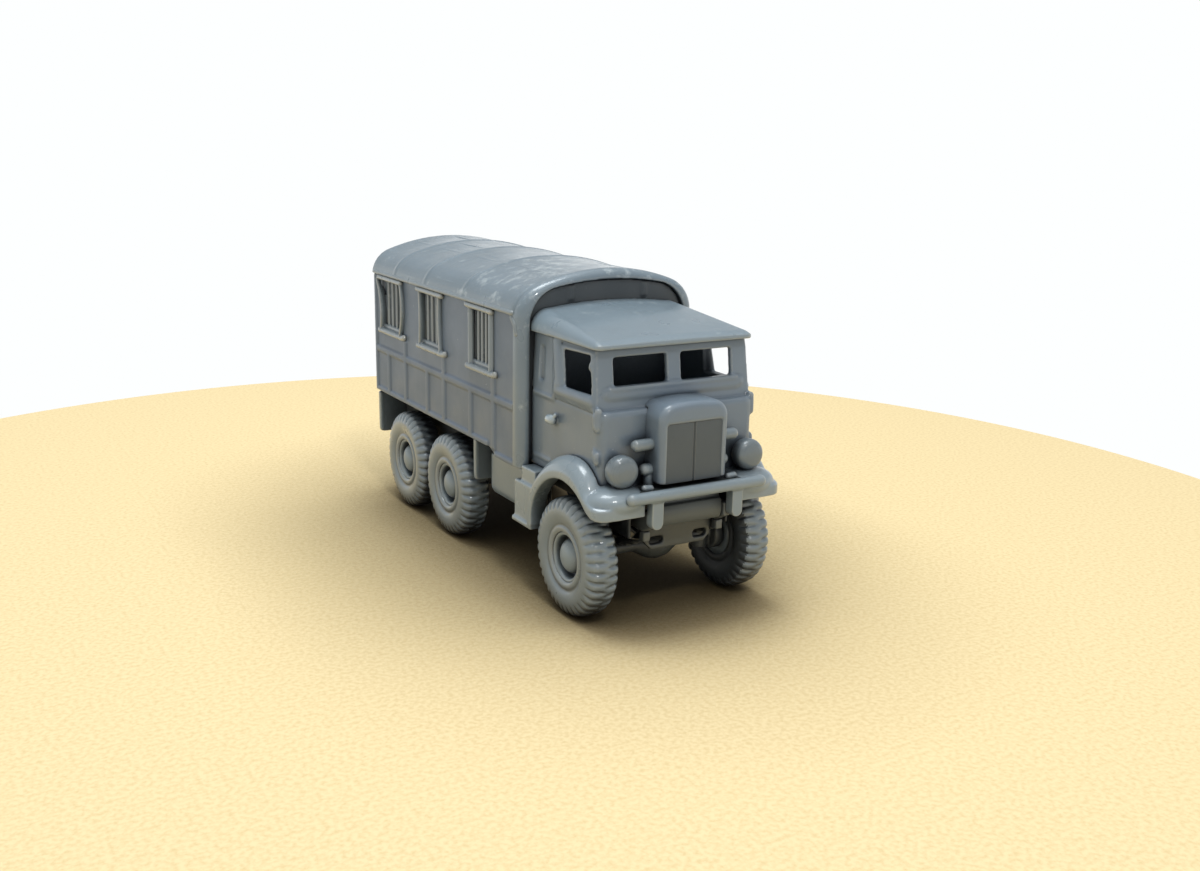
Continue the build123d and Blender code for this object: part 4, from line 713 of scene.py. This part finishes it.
# band under the eave, with a small bracket down the front post
EAVE_BAND = {
    "band": (((15.95, 43.3, 43.3), (15.95, -15.2, 43.3)), 0.42, (1.2, 1, 1)),
    "bracket": (((15.85, -15.0, 42.6), (15.85, -16.0, 41.6), (15.8, -16.4, 40.2)), 0.45,
                ROUND),
}
TANK_TOP_Z, TANK_DROP, TANK_SIDE_X, TANK_INSET = 19.0, 2.3, 13.0, 0.7
FLAP_RIM, FLAP_RIM_BACK, FLAP_RIM_FOOT, FLAP_RIM_TOP = 0.55, 0.5, 0.6, 0.3
HOOPS = (3.0, 19.0, 33.0)
ROOF_FRONT_Y, ROOF_REAR_Y = -16.0, 44.4
SAG_FOOT_Z, SAG_FADE = 43.6, 3.0
SAG_DEPTH, SAG_FLATNESS = 0.22, 0.8
SEAM_LAP, SEAM_WIDTH = 0.13, 1.1


def sag(bm):
    """Let the roof skin hang between its seams, and lap it forwards at each seam."""
    stops = (ROOF_FRONT_Y, *HOOPS, ROOF_REAR_Y)
    for vert in bm.verts:
        rise = share_of(vert.co.z, SAG_FOOT_Z, SAG_FADE)
        if not rise or not ROOF_FRONT_Y < vert.co.y < ROOF_REAR_Y:
            continue
        for a, b in zip(stops, stops[1:]):
            if a <= vert.co.y <= b:
                along = (vert.co.y - a) / (b - a)
                drop = SAG_DEPTH * math.sin(math.pi * along) ** SAG_FLATNESS
                lap = 1 - share_of(vert.co.y, a, SEAM_WIDTH) if a in HOOPS else 0.0
                vert.co.z -= (drop + SEAM_LAP * lap) * rise


def drop_tank(bm):
    """Hang a tank a little below the floor and inside the body's side."""
    for vert in bm.verts:
        if vert.co.z > TANK_TOP_Z:
            vert.co.z -= TANK_DROP
        if abs(vert.co.x) > TANK_SIDE_X:
            vert.co.x -= math.copysign(TANK_INSET, vert.co.x)


def flap_rim(s, low, high):
    """Round rim down the outer edge, on side s, of a mud flap's box."""
    outer = (high.x if s > 0 else low.x) - s * FLAP_RIM
    edge = [(outer, low.y + FLAP_RIM_BACK, z)
            for z in (low.z + FLAP_RIM_FOOT, high.z - FLAP_RIM_TOP)]
    return lambda bm: rod(bm, edge, FLAP_RIM)


def barred_window(bm, s, rear, front, jamb, depth):
    """Bowed jambs, a blind plate, three bars before it, a ledge, a hood and a sill."""
    for top_y, foot_y, bow in (rear, front):
        curve = []
        for step in range(JAMB_STEPS + 1):
            t = step / JAMB_STEPS
            y = top_y + (foot_y - top_y) * t + bow * math.sin(math.pi * t)
            curve.append((s * JAMB_X, y, JAMB_TOP_Z - JAMB_HEIGHT * t))
        rod(bm, curve, jamb, (depth, 1, 1))
    rear_y, front_y = rear[1], front[1]
    block(bm, (s * BLIND_X, (rear_y + front_y) / 2, BLIND_Z),
          (BLIND_THICKNESS, rear_y - front_y, BLIND_HEIGHT))
    clear = rear_y - front_y - 2 * jamb
    for part in BAR_SHARES:
        y = front_y + jamb + clear * part
        rod(bm, [(s * BAR_X, y, BAR_TOP_Z), (s * BAR_X, y, BAR_FOOT_Z)], BAR_RADIUS)
    rod(bm, [(s * BAR_X, rear_y - LEDGE_INSET, LEDGE_Z),
             (s * BAR_X, front_y + LEDGE_INSET, LEDGE_Z)], LEDGE_RADIUS)
    rod(bm, [(s * HOOD_X, rear_y + HOOD_REAR[0], HOOD_REAR[1]),
             (s * HOOD_X, front_y + HOOD_FRONT[0], HOOD_FRONT[1])], HOOD_RADIUS,
        HOOD_STRETCH)
    rod(bm, [(s * SILL_X, rear_y + SILL_REAR[0], SILL_REAR[1]),
             (s * SILL_X, front_y + SILL_FRONT[0], SILL_FRONT[1]),
             (s * SILL_TIP_X, front_y + SILL_TIP[0], SILL_TIP[1])], SILL_RADIUS)


# the roof's bloom is real dust; its blue tint is painted light, as if lit by the sky
roof_resin = make_resin("roof_resin", gloss=0.34, coat=0.4, dust=0.6, tint=(1.0, 1.04, 1.08))
# painted shade: the house sides and rear wall are a darker, cooler copy of the resin
shaded_house_resin = make_resin("shaded_house_resin", gloss=0.42, coat=0.05, tone=0.9,
                         tint=(0.82, 0.87, 1.02))
# painted light: the windows' thin jambs and bars are painted paler still
window_resin = make_resin("window_resin", gloss=0.30, coat=0.6, glow=0.85)
# painted shade: the recessed bulkhead is a much darker copy of the resin
shaded_bulkhead_resin = make_resin("shaded_bulkhead_resin", gloss=0.42, coat=0.05, tone=0.3)
for side, s in SIDES:
    cast(f"body_side_{side}", shaded_house_resin, voxel=0.19, flow=5, share=0.36)
    for row, window in WINDOW_SHAPES.items():
        bm = bmesh.new()
        barred_window(bm, s, *window)
        melt_together(bm, voxel=0.1, flow=3)
        add_piece(f"barred_window_{row}_{side}", bm, window_resin, "truck",
                  f"window_{row}_{side}")
    bm = bmesh.new()
    side_rods(bm, s, EAVE_BAND)
    melt_together(bm, voxel=0.14, flow=4)
    add_piece(f"eave_band_{side}", bm, smooth_resin, "truck")
    # the tanks and the mud flaps take the same lighter copy of the resin, painted light
    cast(f"fuel_tank_{side}", lit_pale_resin, voxel=0.2, flow=8, extra=drop_tank)
    for row in ("middle", "rear"):
        low, high = (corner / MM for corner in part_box(f"mud_flap_{row}_{side}"))
        cast(f"mud_flap_{row}_{side}", lit_pale_resin, voxel=0.14, flow=6,
             extra=flap_rim(s, low, high))
cast("house_roof", roof_resin, voxel=0.2, flow=7, share=0.33,
     made_of=["body_roof", "body_front_frame"], shape=sag)
cast("body_bulkhead", shaded_bulkhead_resin, voxel=0.2, flow=5, share=0.2)
cast("body_rear_wall", shaded_house_resin, voxel=0.2, flow=5, share=0.3)
cast("body_floor", shaded_chassis_resin, voxel=0.3, flow=2, share=0.08)
cast("body_bearers", shaded_chassis_resin, voxel=0.2, flow=3, share=0.15)
